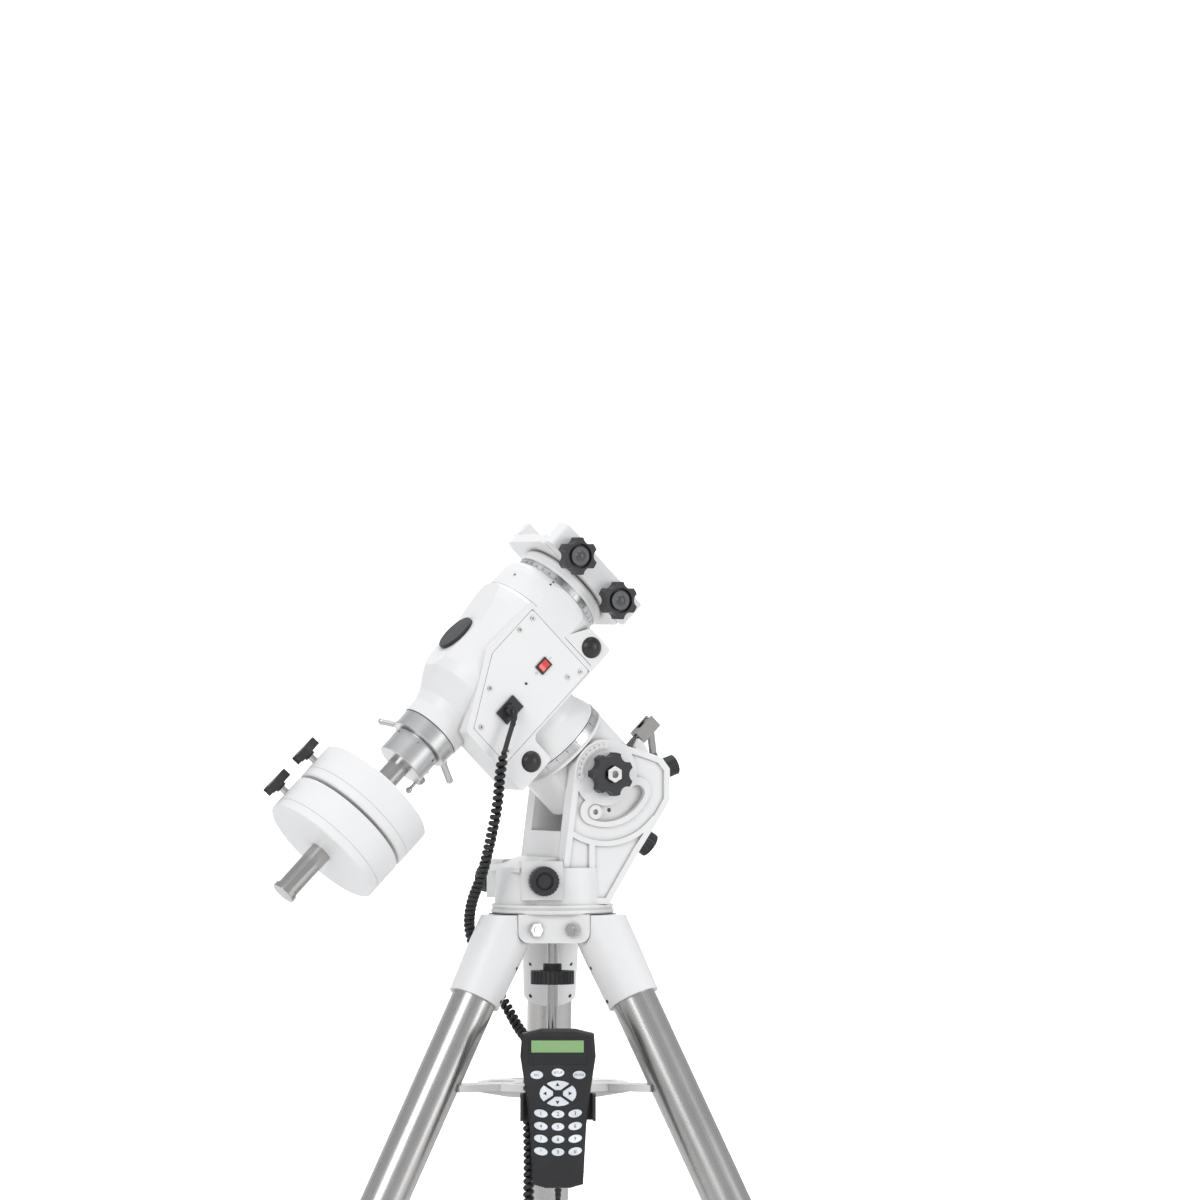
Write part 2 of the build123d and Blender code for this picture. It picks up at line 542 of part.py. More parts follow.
def head():
    keep("ra_housing", ra_housing(), HEAD)
    keep("ra_setting_circle", rod(57.6, -124.3, -114.2) - rod(RA_BORE_R + 3, -130, -100), HEAD)
    keep("ra_head", ra_head(), HEAD)
    shaft = rod(RA_BORE_R, -178, -72) + rod(WORM_WHEEL_R, -145.5, -129.0) - rod(9.0, -200, 0)
    keep("ra_shaft", shaft, HEAD)
    scope = rod(9.0, -196, -76) + rod(13.0, -200, -190.0)
    keep("polar_scope", scope, HEAD)
    cap = rod(23, 54.1, 58) + rod(CAP_BORE_R - RUN, 44, 55) - rod(17, 40, 52)
    keep("polar_cap", fillet(cap.edges().group_by(Axis.Z)[-1], 1.2), HEAD)
    keep("control_panel", panel(), HEAD)
    screws = [HEAD * one(rod(1.5, PANEL_Y - 10, PANEL_Y + 0.2, "y", at)
              + rod(2.6, PANEL_Y, PANEL_Y + 1.2, "y", at)) for at in SCREW_AT]
    keep("panel_screws", Compound(children=screws))
    caps = []
    for x, z in CAP_AT:
        dome = Pos(x, PANEL_Y - 8, z) * Sphere(14.5) & rod(CAP_R, PANEL_Y, PANEL_Y + 9, "y", (x, z))
        caps.append(HEAD * one(dome + rod(CAP_R - 2, PANEL_Y - 9, PANEL_Y + 0.1, "y", (x, z))))
    keep("blanking_caps", Compound(children=caps))
    bezel = block(-8.2, 8.2, PANEL_Y - 6, PANEL_Y + 1.6, -6.2, 6.2)
    bezel -= block(-6.4, 6.4, PANEL_Y - 4, PANEL_Y + 3, -4.6, 4.6)
    bezel_at = Pos(SWITCH_AT[0], 0, SWITCH_AT[1])
    rocker = block(-5.9, 5.9, PANEL_Y - 2, PANEL_Y + 2.2, -4.3, 4.3)
    rocker -= Pos(0, PANEL_Y + 5.4, 0) * Rot(90, 0, 0) * Cylinder(5.0, 1)
    rocker -= Pos(0, PANEL_Y + 22, 0) * Cylinder(20.4, 20)
    keep("power_switch", bezel_at * rocker, HEAD)
    sx, sz = SOCKET_AT
    port = block(sx - 14, sx + 14, PANEL_Y - 8, PANEL_Y + 3, sz - 9, sz + 9)
    port -= block(sx - 6.2, sx + 6.2, PANEL_Y - 5, PANEL_Y + 4, sz - 4.6, sz + 4.6)
    keep("panel_sockets", Compound(children=[HEAD * bezel_at * one(bezel), HEAD * one(port)]))


def panel():
    body = slab(panel_outline(0), PANEL_Y - PANEL_THICK, PANEL_Y, 4)
    for at in SCREW_AT:
        body -= rod(1.5, PANEL_Y - 5, PANEL_Y + 1, "y", at)
    x, z = SWITCH_AT
    body -= block(x - 8.2, x + 8.2, 0, 90, z - 6.2, z + 6.2)
    x, z = SOCKET_AT
    body -= block(x - 14, x + 14, 0, 90, z - 9, z + 9)
    for at in LAMP_AT:
        body -= rod(1.6, 0, 90, "y", at)
    return body


# ---------------------------------------------------------------- declination axis
def dec_axis():
    shaft = rod(DEC_BORE_R, -131, COLLAR_FROM, "x") - rod(11, -140, 90, "x")
    shaft += rod(WORM_WHEEL_R, -65, -49, "x") - rod(11, -80, 0, "x")
    shaft -= rod(11, -30, 30)
    keep("dec_shaft", shaft, HEAD)
    keep("dec_setting_circle", rod(54.0, -120, -112.4, "x") - rod(DEC_BORE_R, -130, -90, "x"), HEAD)
    flange = turned([(-134, 50), (-132, 53.5), (-129, 55), (-123, 55), (-120, 54)], "x")
    base = block(SADDLE_FLOOR, -134, -58, 46, -SADDLE_HALF, SADDLE_HALF)
    base = fillet(base.edges().filter_by(Axis.X), 12)
    body = flange + base
    wall = block(SADDLE_LIP, -145, -58, -BAR_W / 2, -SADDLE_HALF, SADDLE_HALF)
    body += fillet(wall.edges().filter_by(Axis.X).group_by(Axis.Y)[0], 8)
    body -= bar_room()
    body -= rod(DEC_BORE_R, -131, -100, "x")
    for z in KNOB_Z:
        body -= rod(4.0 + RUN, -20, 60, "y", (KNOB_X, z))
    body -= rod(11, -160, -120, "x")
    keep("saddle", body, HEAD)
    jaw = block(SADDLE_LIP, -134 - GAP, 46 + GAP, 62, -SADDLE_HALF, SADDLE_HALF)
    jaw += block(SADDLE_LIP, SADDLE_FLOOR - 0.3, BAR_W / 2 + 1, 47, -SADDLE_HALF, SADDLE_HALF)
    jaw = fillet(jaw.edges().filter_by(Axis.X).group_by(Axis.Y)[-1], 6)
    jaw -= bar_room()
    for z in KNOB_Z:
        jaw -= rod(4.0 + RUN, 20, 80, "y", (KNOB_X, z))
    keep("saddle_jaw", max(jaw.solids(), key=lambda s: s.volume), HEAD)
    for k, z in enumerate(KNOB_Z, 1):
        stud = rod(4.0, 24, 72, "y", (KNOB_X, z))
        grip = lobed(21, 8.5, 6, 16, 15) + rod(8, -5.5, 1)
        grip -= Pos(0, 0, 14.5) * (Cylinder(14, 6) - Cylinder(10.5, 6))
        grip += Pos(0, 0, 10) * Sphere(8.5) & rod(9, 5, 22)
        where = towards(Vector(KNOB_X, 62 + GAP + 5.5, z), Vector(0, 1, 0))
        keep(f"saddle_knob_{k}", stud + where * grip, HEAD)
    clutch_and_shaft()


def bar_room():
    """The dovetail slot: a bar that is wider at its foot than at its top."""
    slope = (SADDLE_FLOOR - SADDLE_LIP) * tan(radians(15))
    pts = [(SADDLE_FLOOR, -BAR_W / 2 - slope), (SADDLE_FLOOR, BAR_W / 2 + slope),
           (SADDLE_LIP - 1, BAR_W / 2), (SADDLE_LIP - 1, -BAR_W / 2)]
    return plate(pts, -SADDLE_HALF - 20, SADDLE_HALF + 20)


def clutch_and_shaft():
    ring = turned([(CLUTCH_FROM, CLUTCH_R - 0.8), (CLUTCH_FROM + 0.8, CLUTCH_R), (CLUTCH_TO - 1, CLUTCH_R),
                   (CLUTCH_TO, CLUTCH_R - 1)], "x")
    ring -= rod(DEC_BORE_R + RUN, 90, 130, "x")
    for a in LEVER_AT:
        out = Vector(0, sind(a), cosd(a))
        start = Vector((CLUTCH_FROM + CLUTCH_TO) / 2, 0, 0) + out * (CLUTCH_R - 3)
        way = out + Vector(LEVER_RAKE, 0, 0)
        lever = rod(5.4, 0, 6) + rod(4.1, 0, 27) + Pos(0, 0, 27) * Sphere(4.3)
        ring += towards(start, way) * lever
    keep("dec_clutch_ring", ring, HEAD)
    collar = turned([(COLLAR_FROM, COLLAR_R - 2), (COLLAR_FROM + 2, COLLAR_R - 2),
                     (COLLAR_FROM + 2, COLLAR_R), (COLLAR_TO - 1, COLLAR_R), (COLLAR_TO, COLLAR_R - 1)], "x")
    collar -= rod(SHAFT_R + RUN, SHAFT_FROM, COLLAR_TO + 1, "x")
    screw_out = Vector(0, sind(SCREW_ANGLE), cosd(SCREW_ANGLE))
    place = towards_x(Vector(141, 0, 0), screw_out)
    collar -= place * rod(4.0 + RUN, SHAFT_R, 40)
    for a in (8, 70, 128, 190, 250, 310):
        out = Vector(0, sind(a), cosd(a))
        collar -= towards(Vector(127, 0, 0) + out * (COLLAR_R - 3), out) * rod(1.6, 0, 6)
    keep("shaft_collar", collar, HEAD)
    bolt = rod(4.0, SHAFT_R + 0.2, COLLAR_R + 6) + rod(5.8, COLLAR_R + 5, COLLAR_R + 14)
    bar = rod(2.0, -12, 18, "x", (0, COLLAR_R + 9.5))
    for x in (-12, 18):
        bar += Pos(x, 0, COLLAR_R + 9.5) * Sphere(3.7)
    keep("collar_screw", place * (bolt + bar), HEAD)
    stop = rod(SHAFT_R + 2.0, SHAFT_TO - 6, SHAFT_TO, "x")
    stop = fillet(stop.edges().group_by(Axis.X)[-1], 1)
    keep("counterweight_shaft", rod(SHAFT_R, SHAFT_FROM + 1, SHAFT_TO - 5, "x") + stop, HEAD)
    for k, t in enumerate(WEIGHT_AT, 1):
        weight = turned([(t, WEIGHT_R - 1.5), (t + 1.5, WEIGHT_R), (t + WEIGHT_W - 12, WEIGHT_R),
                         (t + WEIGHT_W - 11.4, WEIGHT_R - 0.6), (t + WEIGHT_W - 10.8, WEIGHT_R),
                         (t + WEIGHT_W - 1.5, WEIGHT_R), (t + WEIGHT_W, WEIGHT_R - 1.5)], "x")
        weight -= rod(SHAFT_R + RUN, t - 1, t + WEIGHT_W + 1, "x")
        out = Vector(0, sind(THUMB_ANGLE), cosd(THUMB_ANGLE))
        place = towards_x(Vector(t + WEIGHT_W / 2, 0, 0), out)
        weight -= place * rod(4.0 + RUN, SHAFT_R - 1, 90)
        keep(f"counterweight_{k}", weight, HEAD)
        stud = rod(4.0, SHAFT_R + 0.3, WEIGHT_R + 9)
        grip = rod(6.5, WEIGHT_R + 7, WEIGHT_R + 12)
        grip += Pos(0, 0, WEIGHT_R + 10) * lobed(17.5, 15, 3, 10, 60)
        keep(f"weight_thumbscrew_{k}", place * (stud + grip), HEAD)


def towards_x(origin, direction):
    """As towards, with the frame's x along the shaft."""
    return Plane(origin=origin, x_dir=Vector(1, 0, 0), z_dir=direction).location


# ---------------------------------------------------------------- hand controller
def hand_frame():
    """x runs across the controller, to the reader's left; y points at the reader; z is up."""
    out = Vector(cosd(FACE_AZ), sind(FACE_AZ), 0)
    right = Vector(-out.Y, out.X, 0)
    origin = out * HAND_R + right * HAND_SIDE + Vector(0, 0, DATUM)
    return Plane(origin=origin, x_dir=-right, z_dir=Vector(0, 0, 1)).location


def case_outline(inset=0.0):
    top, foot = HAND_TOP - inset, HAND_FOOT + inset
    w, n = HAND_W / 2 - inset, HAND_FOOT_W / 2 - inset
    return [(-w + 2, top - 5), (-w * 0.45, top), (w * 0.45, top), (w - 2, top - 5), (w, top - 30),
            (w - 5.5, top - 65), (n + 3.5, top - 106), (n, foot + 4), (n * 0.5, foot), (-n * 0.5, foot),
            (-n, foot + 4), (-n - 3.5, top - 106), (-w + 5.5, top - 65), (-w, top - 30)]


def controller():
    where = hand_frame()
    half = HAND_THICK / 2
    shell = slab(case_outline(), -half, half)
    shell = chamfer(shell.edges().group_by(Axis.Y)[-1], 2.5)
    shell = chamfer(shell.edges().group_by(Axis.Y)[0], 3.5)
    hollow = slab(case_outline(4.5), -half + 2.5, half - 2.5)
    shell -= hollow
    top = HAND_TOP
    shell -= block(-33, 33, half - 1.2, half + 2, top - 39, top - 9)
    for place, form in key_places(0.35):
        shell -= place * Pos(0, 0, -half - 0.5) * extrude(form, amount=8)
    shell -= block(-6.2, 6.2, -5, 5, HAND_FOOT - 1, HAND_FOOT + 12)
    keep("controller_case", shell, where)
    keep("controller_window", block(-32.8, 32.8, half - 1.2, half, top - 38.8, top - 9.2), where)
    groups = {"keys_function": [], "keys_arrow": [], "keys_number": []}
    for k, (place, form) in enumerate(key_places(0)):
        cap = extrude(form, amount=4.6)
        cap = place * Pos(0, 0, -half - 1.6) * chamfer(cap.edges().group_by(Axis.Z)[0], 0.5)
        name = "keys_function" if k < 3 else "keys_arrow" if k < 7 else "keys_number"
        groups[name].append(where * one(cap))
    for name, caps in groups.items():
        keep(name, Compound(children=caps))
    cradle(where, half)


def petal(half):
    """An arrow key from half its outline: a bowed outer edge and a blunt inner point, towards -y."""
    return outline(half + [(-x, y) for x, y in reversed(half) if x], 0.9)


def key_places(grow):
    """Each key's place and grown outline: three on top, the arrow pad, then twelve in four rows."""
    def at(x, z, turn=0.0):
        return Pos(x, 0, z) * Rot(90, 0, 0) * Rot(0, 0, turn)

    top = HAND_TOP
    three = ((-23.5, 50.5), (0, 48), (23.5, 50.5))
    out = [(at(x, top - drop), Ellipse(7 + grow, 4.5 + grow)) for x, drop in three]
    for turn in (0, 90, 180, 270):
        tall = [(3.0, 3.7), (13.0, 10.9), (7.0, 13.4), (0, 14.3)]
        wide = [(2.2, 5.5), (8.9, 16.0), (4.6, 19.4), (0, 20.5)]
        form = petal(wide if turn % 180 else tall)
        out.append((at(0, top - 71, turn), offset(form, grow) if grow else form))
    for row in range(4):
        for col in (-1, 0, 1):
            place = at(19 * col, top - 94 - 14 * row + 0.8 * abs(col), 12 * col)
            out.append((place, Ellipse((7.6 if col else 7.0) + grow, 4.3 + grow)))
    return out


def cradle(where, half):
    """The holder that grips the controller's sides, on the front of the tray."""
    z0, z1 = HAND_TOP - 102, HAND_TOP - 72
    n = 38.5
    back = -half - 4.5
    body = block(-n - 3, n + 3, back, -half - GAP, z0, z1)
    for side in (-1, 1):
        cheek = block(n, n + 3.5, back, half - 2, z0, z1)
        body += cheek if side > 0 else mirror(cheek, Plane.YZ)
    body += block(-12, 12, back - 17, back + 0.5, TRAY_Z - 8, TRAY_Z + TRAY_THICK)
    body -= slab(case_outline(-GAP), -half - GAP, half + 2)
    body -= Pos(HAND_SIDE, -HAND_R, 0) * rod(TRAY_R + 0.02, -420, -300)
    keep("controller_cradle", max(body.solids(), key=lambda s: s.volume), where)


# ---------------------------------------------------------------- cord
def corner_radii(points):
    """The largest radii that fit the route: each takes 0.45 of its shorter run."""
    radii = []
    for a, b, c in zip(points, points[1:], points[2:]):
        turn = radians((b - a).get_angle(c - b))
        radii.append(0.45 * min((b - a).length, (c - b).length) / tan(turn / 2))
    return radii


def cord():
    """The coiled cord as one tube of the coil's outer diameter."""
    route = [Vector(*p) for p in CORD_ROUTE]
    radii = corner_radii(route)
    path = FilletPolyline(*route, radius=radii)
    tube = sweep(Plane(origin=path @ 0, z_dir=path % 0) * Circle(COIL_R), path=path)
    keep("curly_cord", tube)
    print("cord radii", [round(r) for r in radii])
    filled = tube.volume / (pi * COIL_R**2 * path.length)
    print("cord length", round(path.length), "volume ratio", round(filled, 3))


def main():
    tripod()
    rod_and_tray()
    fork()
    head()
    dec_axis()
    controller()
    cord()
    os.makedirs("parts", exist_ok=True)
    for name, shape in NODES.items():
        export_step(shape, f"parts/{name}.step")
    print(len(NODES), "nodes")


if __name__ == "__main__":
    main()
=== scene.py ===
# %% [markdown]
# # A motorised equatorial mount, dressed for its portrait
# The shapes come from the CAD model, which is loaded first and never moved. This lesson gives them
# their finishes, adds the small things that a machinist or a printer would add last (scale marks,
# key legends, screw slots, the coiled lead), and sets up a plain studio around them.
# Everything is in metres, in the CAD's own frame: the origin is on the floor, +Z is up.

import json
from math import cos, pi, radians, sin, sqrt

import bmesh
import bpy
from mathutils import Matrix, Vector


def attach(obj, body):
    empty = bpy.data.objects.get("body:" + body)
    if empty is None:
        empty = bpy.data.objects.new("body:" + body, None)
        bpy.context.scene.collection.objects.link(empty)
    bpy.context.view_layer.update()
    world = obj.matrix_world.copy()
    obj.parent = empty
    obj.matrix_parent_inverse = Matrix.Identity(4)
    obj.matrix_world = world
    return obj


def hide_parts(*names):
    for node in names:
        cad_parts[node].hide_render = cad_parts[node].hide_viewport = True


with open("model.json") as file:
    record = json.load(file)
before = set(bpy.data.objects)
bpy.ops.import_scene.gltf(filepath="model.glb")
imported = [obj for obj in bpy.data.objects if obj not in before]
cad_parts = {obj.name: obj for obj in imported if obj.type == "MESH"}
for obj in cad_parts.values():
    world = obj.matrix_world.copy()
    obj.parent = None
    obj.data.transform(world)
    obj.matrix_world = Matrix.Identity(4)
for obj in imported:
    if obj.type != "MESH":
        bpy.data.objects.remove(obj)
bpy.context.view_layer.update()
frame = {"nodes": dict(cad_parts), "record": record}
scene = bpy.context.scene

# %% [markdown]
# ## The camera
# A product shot is taken from far away with a long lens, so that upright lines stay parallel and
# nothing near the lens looks swollen. Ten metres and a 270 mm lens give that calm, flat view.

# %% Camera
camera = bpy.data.objects.new("studio_camera", bpy.data.cameras.new("studio_camera"))
scene.collection.objects.link(camera)
camera.location = (-4.231, -9.246, 1.1306)
camera.rotation_euler = (radians(89.89), 0, radians(-24.89))
camera.data.lens = 271.7
camera.data.sensor_width = 36
camera.data.clip_end = 200
scene.camera = camera
print("camera", [round(v, 2) for v in camera.location])

# %% [markdown]
# ## Frames of reference
# Half of this mount leans at 45 degrees. It is far easier to place things in the leaning head's own
# frame, where x runs down the declination axis, y comes out of the control panel, and z points up
# the polar axis, and to let one matrix carry them into the room. The hand controller gets a frame
# of its own in the same way.

# %% Local frames, in millimetres
MM = Matrix.Scale(0.001, 4)
SLANT = sqrt(0.5)
CROSSING = Vector((-79.5, 0, 1035))
POLE = Vector((-SLANT, 0, SLANT))
DOWN = Vector((-SLANT, 0, -SLANT))
ALTITUDE = CROSSING - POLE * 167.5


def frame_of(origin, x, y, z):
    """A matrix from a local frame in millimetres to the room in metres."""
    turn = Matrix((x, y, z)).transposed().to_4x4()
    return MM @ Matrix.Translation(origin) @ turn


HEAD = frame_of(CROSSING, DOWN, Vector((0, -1, 0)), POLE)
FACING = radians(245.4)
OUT = Vector((cos(FACING), sin(FACING), 0))
RIGHT = Vector((-OUT.y, OUT.x, 0))
UP = Vector((0, 0, 1))
HAND = frame_of(OUT * 118 + RIGHT * 6.2 + UP * 920, -RIGHT, OUT, UP)
print("altitude axis at", [round(v, 1) for v in ALTITUDE])

# %% [markdown]
# ## Building meshes in batches
# Scale marks come by the hundred. Making each one a separate object would be slow, so a Batch
# collects corners and faces and becomes one mesh at the end. Its solids are closed: a mark is a thin
# block, not a loose card, so that it still has thickness in a file made for printing.


# %% A batch of solids
class Batch:
    def __init__(self):
        self.bm = bmesh.new()

    def block(self, size, where):
        """A box of this size in millimetres, centred in the frame `where`."""
        made = bmesh.ops.create_cube(self.bm, size=1.0)
        bmesh.ops.transform(self.bm, matrix=where @ Matrix.Diagonal((*size, 1)), verts=made["verts"])
        return self

    def prism(self, outline, thick, where):
        """A flat outline in x and y, raised by thick along z."""
        low = [self.bm.verts.new(where @ Vector((x, y, 0))) for x, y in outline]
        high = [self.bm.verts.new(where @ Vector((x, y, thick))) for x, y in outline]
        self.bm.faces.new(low[::-1])
        self.bm.faces.new(high)
        for k in range(len(low)):
            n = (k + 1) % len(low)
            self.bm.faces.new((low[k], low[n], high[n], high[k]))
        return self

    def turned(self, profile, where, steps=48):
        """A turned solid: profile is a list of (radius, height)."""
        rings = []
        for r, z in profile:
            ring = [(r * cos(2 * pi * k / steps), r * sin(2 * pi * k / steps), z) for k in range(steps)]
            rings.append([self.bm.verts.new(where @ Vector(p)) for p in ring])
        for a, b in zip(rings, rings[1:]):
            for k in range(steps):
                n = (k + 1) % steps
                self.bm.faces.new((a[k], a[n], b[n], b[k]))
        self.bm.faces.new(rings[0][::-1])
        self.bm.faces.new(rings[-1])
        return self

    def words(self, text, height, where, thick=0.06):
        """Raised lettering in Blender's own font, centred in the frame."""
        curve = bpy.data.curves.new("lettering", "FONT")
        curve.body = text
        curve.size = height * 1.38
        curve.extrude = thick / 2
        curve.resolution_u = 2
        curve.align_x, curve.align_y = "CENTER", "CENTER"
        holder = bpy.data.objects.new("lettering", curve)
        mesh = bpy.data.meshes.new_from_object(holder)
        mesh.transform(where @ Matrix.Translation((0, 0, thick / 2)))
        self.bm.from_mesh(mesh)
        bpy.data.meshes.remove(mesh)
        bpy.data.objects.remove(holder)
        bpy.data.curves.remove(curve)
        return self

    def piece(self, name, body, finish, slot=None, smooth=False):
        mesh = bpy.data.meshes.new(name)
        bmesh.ops.remove_doubles(self.bm, verts=self.bm.verts, dist=1e-7)
        bmesh.ops.recalc_face_normals(self.bm, faces=self.bm.faces)
        self.bm.to_mesh(mesh)
        self.bm.free()
        if smooth:
            for face in mesh.polygons:
                face.use_smooth = True
            mesh.set_sharp_from_angle(angle=radians(35))
        made = bpy.data.objects.new(name, mesh)
        scene.collection.objects.link(made)
        made.data.materials.append(finish)
        print(name, len(mesh.vertices), "vertices")
        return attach(made, body)


def looking(origin, normal, up):
    """A frame on a surface: z is the surface's normal and y the reader's up."""
    z = normal.normalized()
    x = up.cross(z).normalized()
    return Matrix.Translation(origin) @ Matrix((x, z.cross(x), z)).transposed().to_4x4()


# %% [markdown]
# ## Shader maths as Python
# A node tree is a formula drawn as boxes. Value lets us write the formula instead: it wraps one
# output socket and adds a Math node whenever it meets an operator, also with a plain number on
# the left as in 1 - mask. Every other node comes from Finish.node, which takes the node's type, its
# settings, and then its sockets' values or links.


# %% Value and Finish
class Value:
    def __init__(self, finish, socket):
        self.finish, self.socket = finish, socket

    def math(self, operation, *others, clamp=False):
        settings = {"operation": operation, "use_clamp": clamp}
        links = dict(enumerate((self, *others)))
        return self.finish.node("ShaderNodeMath", settings, links)

    def __add__(self, other):
        return self.math("ADD", other)

    def __sub__(self, other):
        return self.math("SUBTRACT", other)

    def __rsub__(self, other):
        return self.finish.node("ShaderNodeMath", {"operation": "SUBTRACT"}, {0: other, 1: self})

    def __mul__(self, other):
        return self.math("MULTIPLY", other)

    __radd__, __rmul__ = __add__, __mul__

    def above(self, low, high):
        """0 below low, 1 above high, and an even ramp between."""
        settings = {"interpolation_type": "SMOOTHSTEP", "clamp": True}
        return self.finish.node("ShaderNodeMapRange", settings, {"Value": self, 1: low, 2: high})


class Finish:
    """One material. It starts as a Principled shader with its constants set on its own sockets."""

    def __init__(self, name, **constants):
        self.material = bpy.data.materials.new(name)
        self.material.use_nodes = True
        self.tree = self.material.node_tree
        self.shader = self.tree.nodes["Principled BSDF"]
        for socket, value in constants.items():
            self.shader.inputs[socket.replace("_", " ")].default_value = value
        self.place = self.node("ShaderNodeTexCoord", {}, {}, "Object")

    def node(self, kind, settings, links, output=0):
        made = self.tree.nodes.new(kind)
        stops = settings.pop("stops", None)
        for key, value in settings.items():
            setattr(made, key, value)
        if stops:
            ramp = made.color_ramp.elements
            while len(ramp) < len(stops):
                ramp.new(0.5)
            for stop, (at, colour) in zip(ramp, stops):
                stop.position, stop.color = at, colour
        for key, value in links.items():
            self.set(made.inputs[key], value)
        return Value(self, made.outputs[output])

    def set(self, socket, value):
        if isinstance(value, Value):
            self.tree.links.new(value.socket, socket)
        else:
            socket.default_value = value

    def noise(self, scale, detail=3.0, where=None, rough=0.55):
        links = {"Vector": where or self.place, "Scale": scale, "Detail": detail, "Roughness": rough}
        return self.node("ShaderNodeTexNoise", {}, links, "Fac")

    def stretched(self, matrix_rotation, scales):
        """The place in the object, turned and stretched, for grain that runs one way."""
        turned = self.node("ShaderNodeMapping", {"vector_type": "TEXTURE"},
                           {"Vector": self.place, "Rotation": matrix_rotation})
        return self.node("ShaderNodeVectorMath", {"operation": "MULTIPLY"}, {0: turned, 1: scales})

    def mix(self, mask, low, high):
        settings = {"data_type": "RGBA", "clamp_factor": True}
        return self.node("ShaderNodeMix", settings, {0: mask, 6: low, 7: high}, 2)

    def crevice(self, reach):
        """1 in the open and 0 deep in a joint or groove."""
        return self.node("ShaderNodeAmbientOcclusion", {"samples": 6}, {"Distance": reach}, "AO")

    def bump(self, height, strength, distance):
        links = {"Height": height, "Strength": strength, "Distance": distance}
        return self.node("ShaderNodeBump", {}, links, "Normal")

    def feed(self, **sockets):
        for socket, value in sockets.items():
            self.set(self.shader.inputs[socket.replace("_", " ")], value)
        return self.material


def grey(level, warm=0.0):
    return (level * (1 + warm), level, level * (1 - warm), 1)


# %% [markdown]
# ## White powder coat
# The castings, the tripod's sockets and the tray are cast aluminium under a baked white powder.
# Powder melts into a skin that is smooth but faintly pebbled, like orange peel a millimetre across.
# Handling leaves a slightly duller sheen in patches. The corners are darkened as painted shade: it
# comes from ambient occlusion, so every groove gets its own soft line of painted shade with nothing to place.


# %% Powder coat
def powder_coat(name, level, roughness, peel, reach=0.006):
    paint = Finish(name, Specular_IOR_Level=0.5)
    patches = paint.noise(9.0, 4.0)
    fine = paint.noise(1100.0, 2.0)
    # open_air is ambient occlusion; where it falls, the white is darkened to a warm grey as painted shade
    open_air = paint.crevice(reach).above(0.25, 0.95)
    patchy_white = paint.mix(patches, grey(level, 0.004), grey(level * 0.975, 0.008))
    with_painted_shade = paint.mix(open_air, grey(level * 0.52, 0.03), patchy_white)
    return paint.feed(
        Base_Color=with_painted_shade,
        Roughness=patches * 0.16 + fine * 0.06 + (roughness - 0.11),
        Normal=paint.bump(fine + paint.noise(380.0, 2.0) * 0.8, 0.30, peel),
    )


white_casting = powder_coat("white_powder_coat", 0.84, 0.36, 0.00006)
white_weight = powder_coat("white_weight_enamel", 0.86, 0.44, 0.00012, 0.004)
white_panel = powder_coat("white_panel_enamel", 0.86, 0.30, 0.00002, 0.003)
print("white finishes made")

# %% [markdown]
# ## Black plastics and rubber
# Knobs are glass-filled nylon with a spark-eroded grain: a fine sparkle that keeps them from
# looking like a hole in the picture. The controller's shell has a coarser leather-like grain, and
# the lead's jacket is smoother, with a satin shine. One recipe with three sizes of grain makes them.


# %% Moulded plastics
def moulded(name, colour, roughness, grain, depth, shine=0.5):
    paint = Finish(name, Specular_IOR_Level=shine)
    sparkle = paint.noise(grain, 3.0)
    wear = paint.noise(22.0, 4.0)
    rubbed = [c * 1.7 + 0.006 for c in colour] + [1]
    return paint.feed(
        Base_Color=paint.mix(wear.above(0.45, 0.8) * 0.6 + sparkle * 0.25, (*colour, 1), rubbed),
        Roughness=wear * 0.18 + sparkle * 0.12 + (roughness - 0.15),
        Normal=paint.bump(sparkle, 0.55, depth),
    )


black_knob = moulded("black_nylon", (0.020, 0.020, 0.022), 0.46, 1500.0, 0.00018)
black_shell = moulded("controller_shell", (0.012, 0.012, 0.013), 0.50, 1100.0, 0.00030)
black_cap = moulded("black_blanking_cap", (0.020, 0.019, 0.020), 0.36, 2200.0, 0.00006)
cord_jacket = moulded("cord_jacket", (0.012, 0.012, 0.013), 0.40, 900.0, 0.00010)
# The boss is glossier than the grip, and its lighter grey is a painted highlight on its dome
boss_painted_highlight = moulded("nylon_boss_painted_highlight", (0.045, 0.045, 0.048), 0.30, 1500.0, 0.00006, 0.8)
foot_rubber = moulded("foot_rubber", (0.018, 0.018, 0.018), 0.70, 700.0, 0.0003, 0.3)
key_rubber = moulded("key_rubber", (0.66, 0.69, 0.72), 0.48, 1300.0, 0.00008)
print("plastics made")

# %% [markdown]
# ## Bare metal
# Three kinds of bare metal show. The leg tubes and the weight shaft are polished steel, whose grain
# runs along the tube because that is the way the belt ran. The clutch ring, the collar and the
# setting circles are turned aluminium, whose marks run round the axis. The small bolts are plated
# and nearly mirror bright. The grain is noise that is squeezed in one direction.


# %% Steel along an axis
def steel(name, axis, tint=0.52, roughness=0.24):
    paint = Finish(name, Metallic=1.0)
    turn = axis.normalized().to_track_quat("Z", "Y").to_euler()
    streaks = paint.noise(1.0, 3.0, paint.stretched(turn, (900.0, 900.0, 9.0)))
    cloud = paint.noise(14.0, 4.0)
    return paint.feed(
        Base_Color=paint.mix(streaks * 0.7 + cloud * 0.3, grey(tint * 0.80, 0.03), grey(tint * 1.12, 0.02)),
        Roughness=streaks * 0.14 + cloud * 0.10 + (roughness - 0.10),
        Normal=paint.bump(streaks, 0.22, 0.00004),
    )


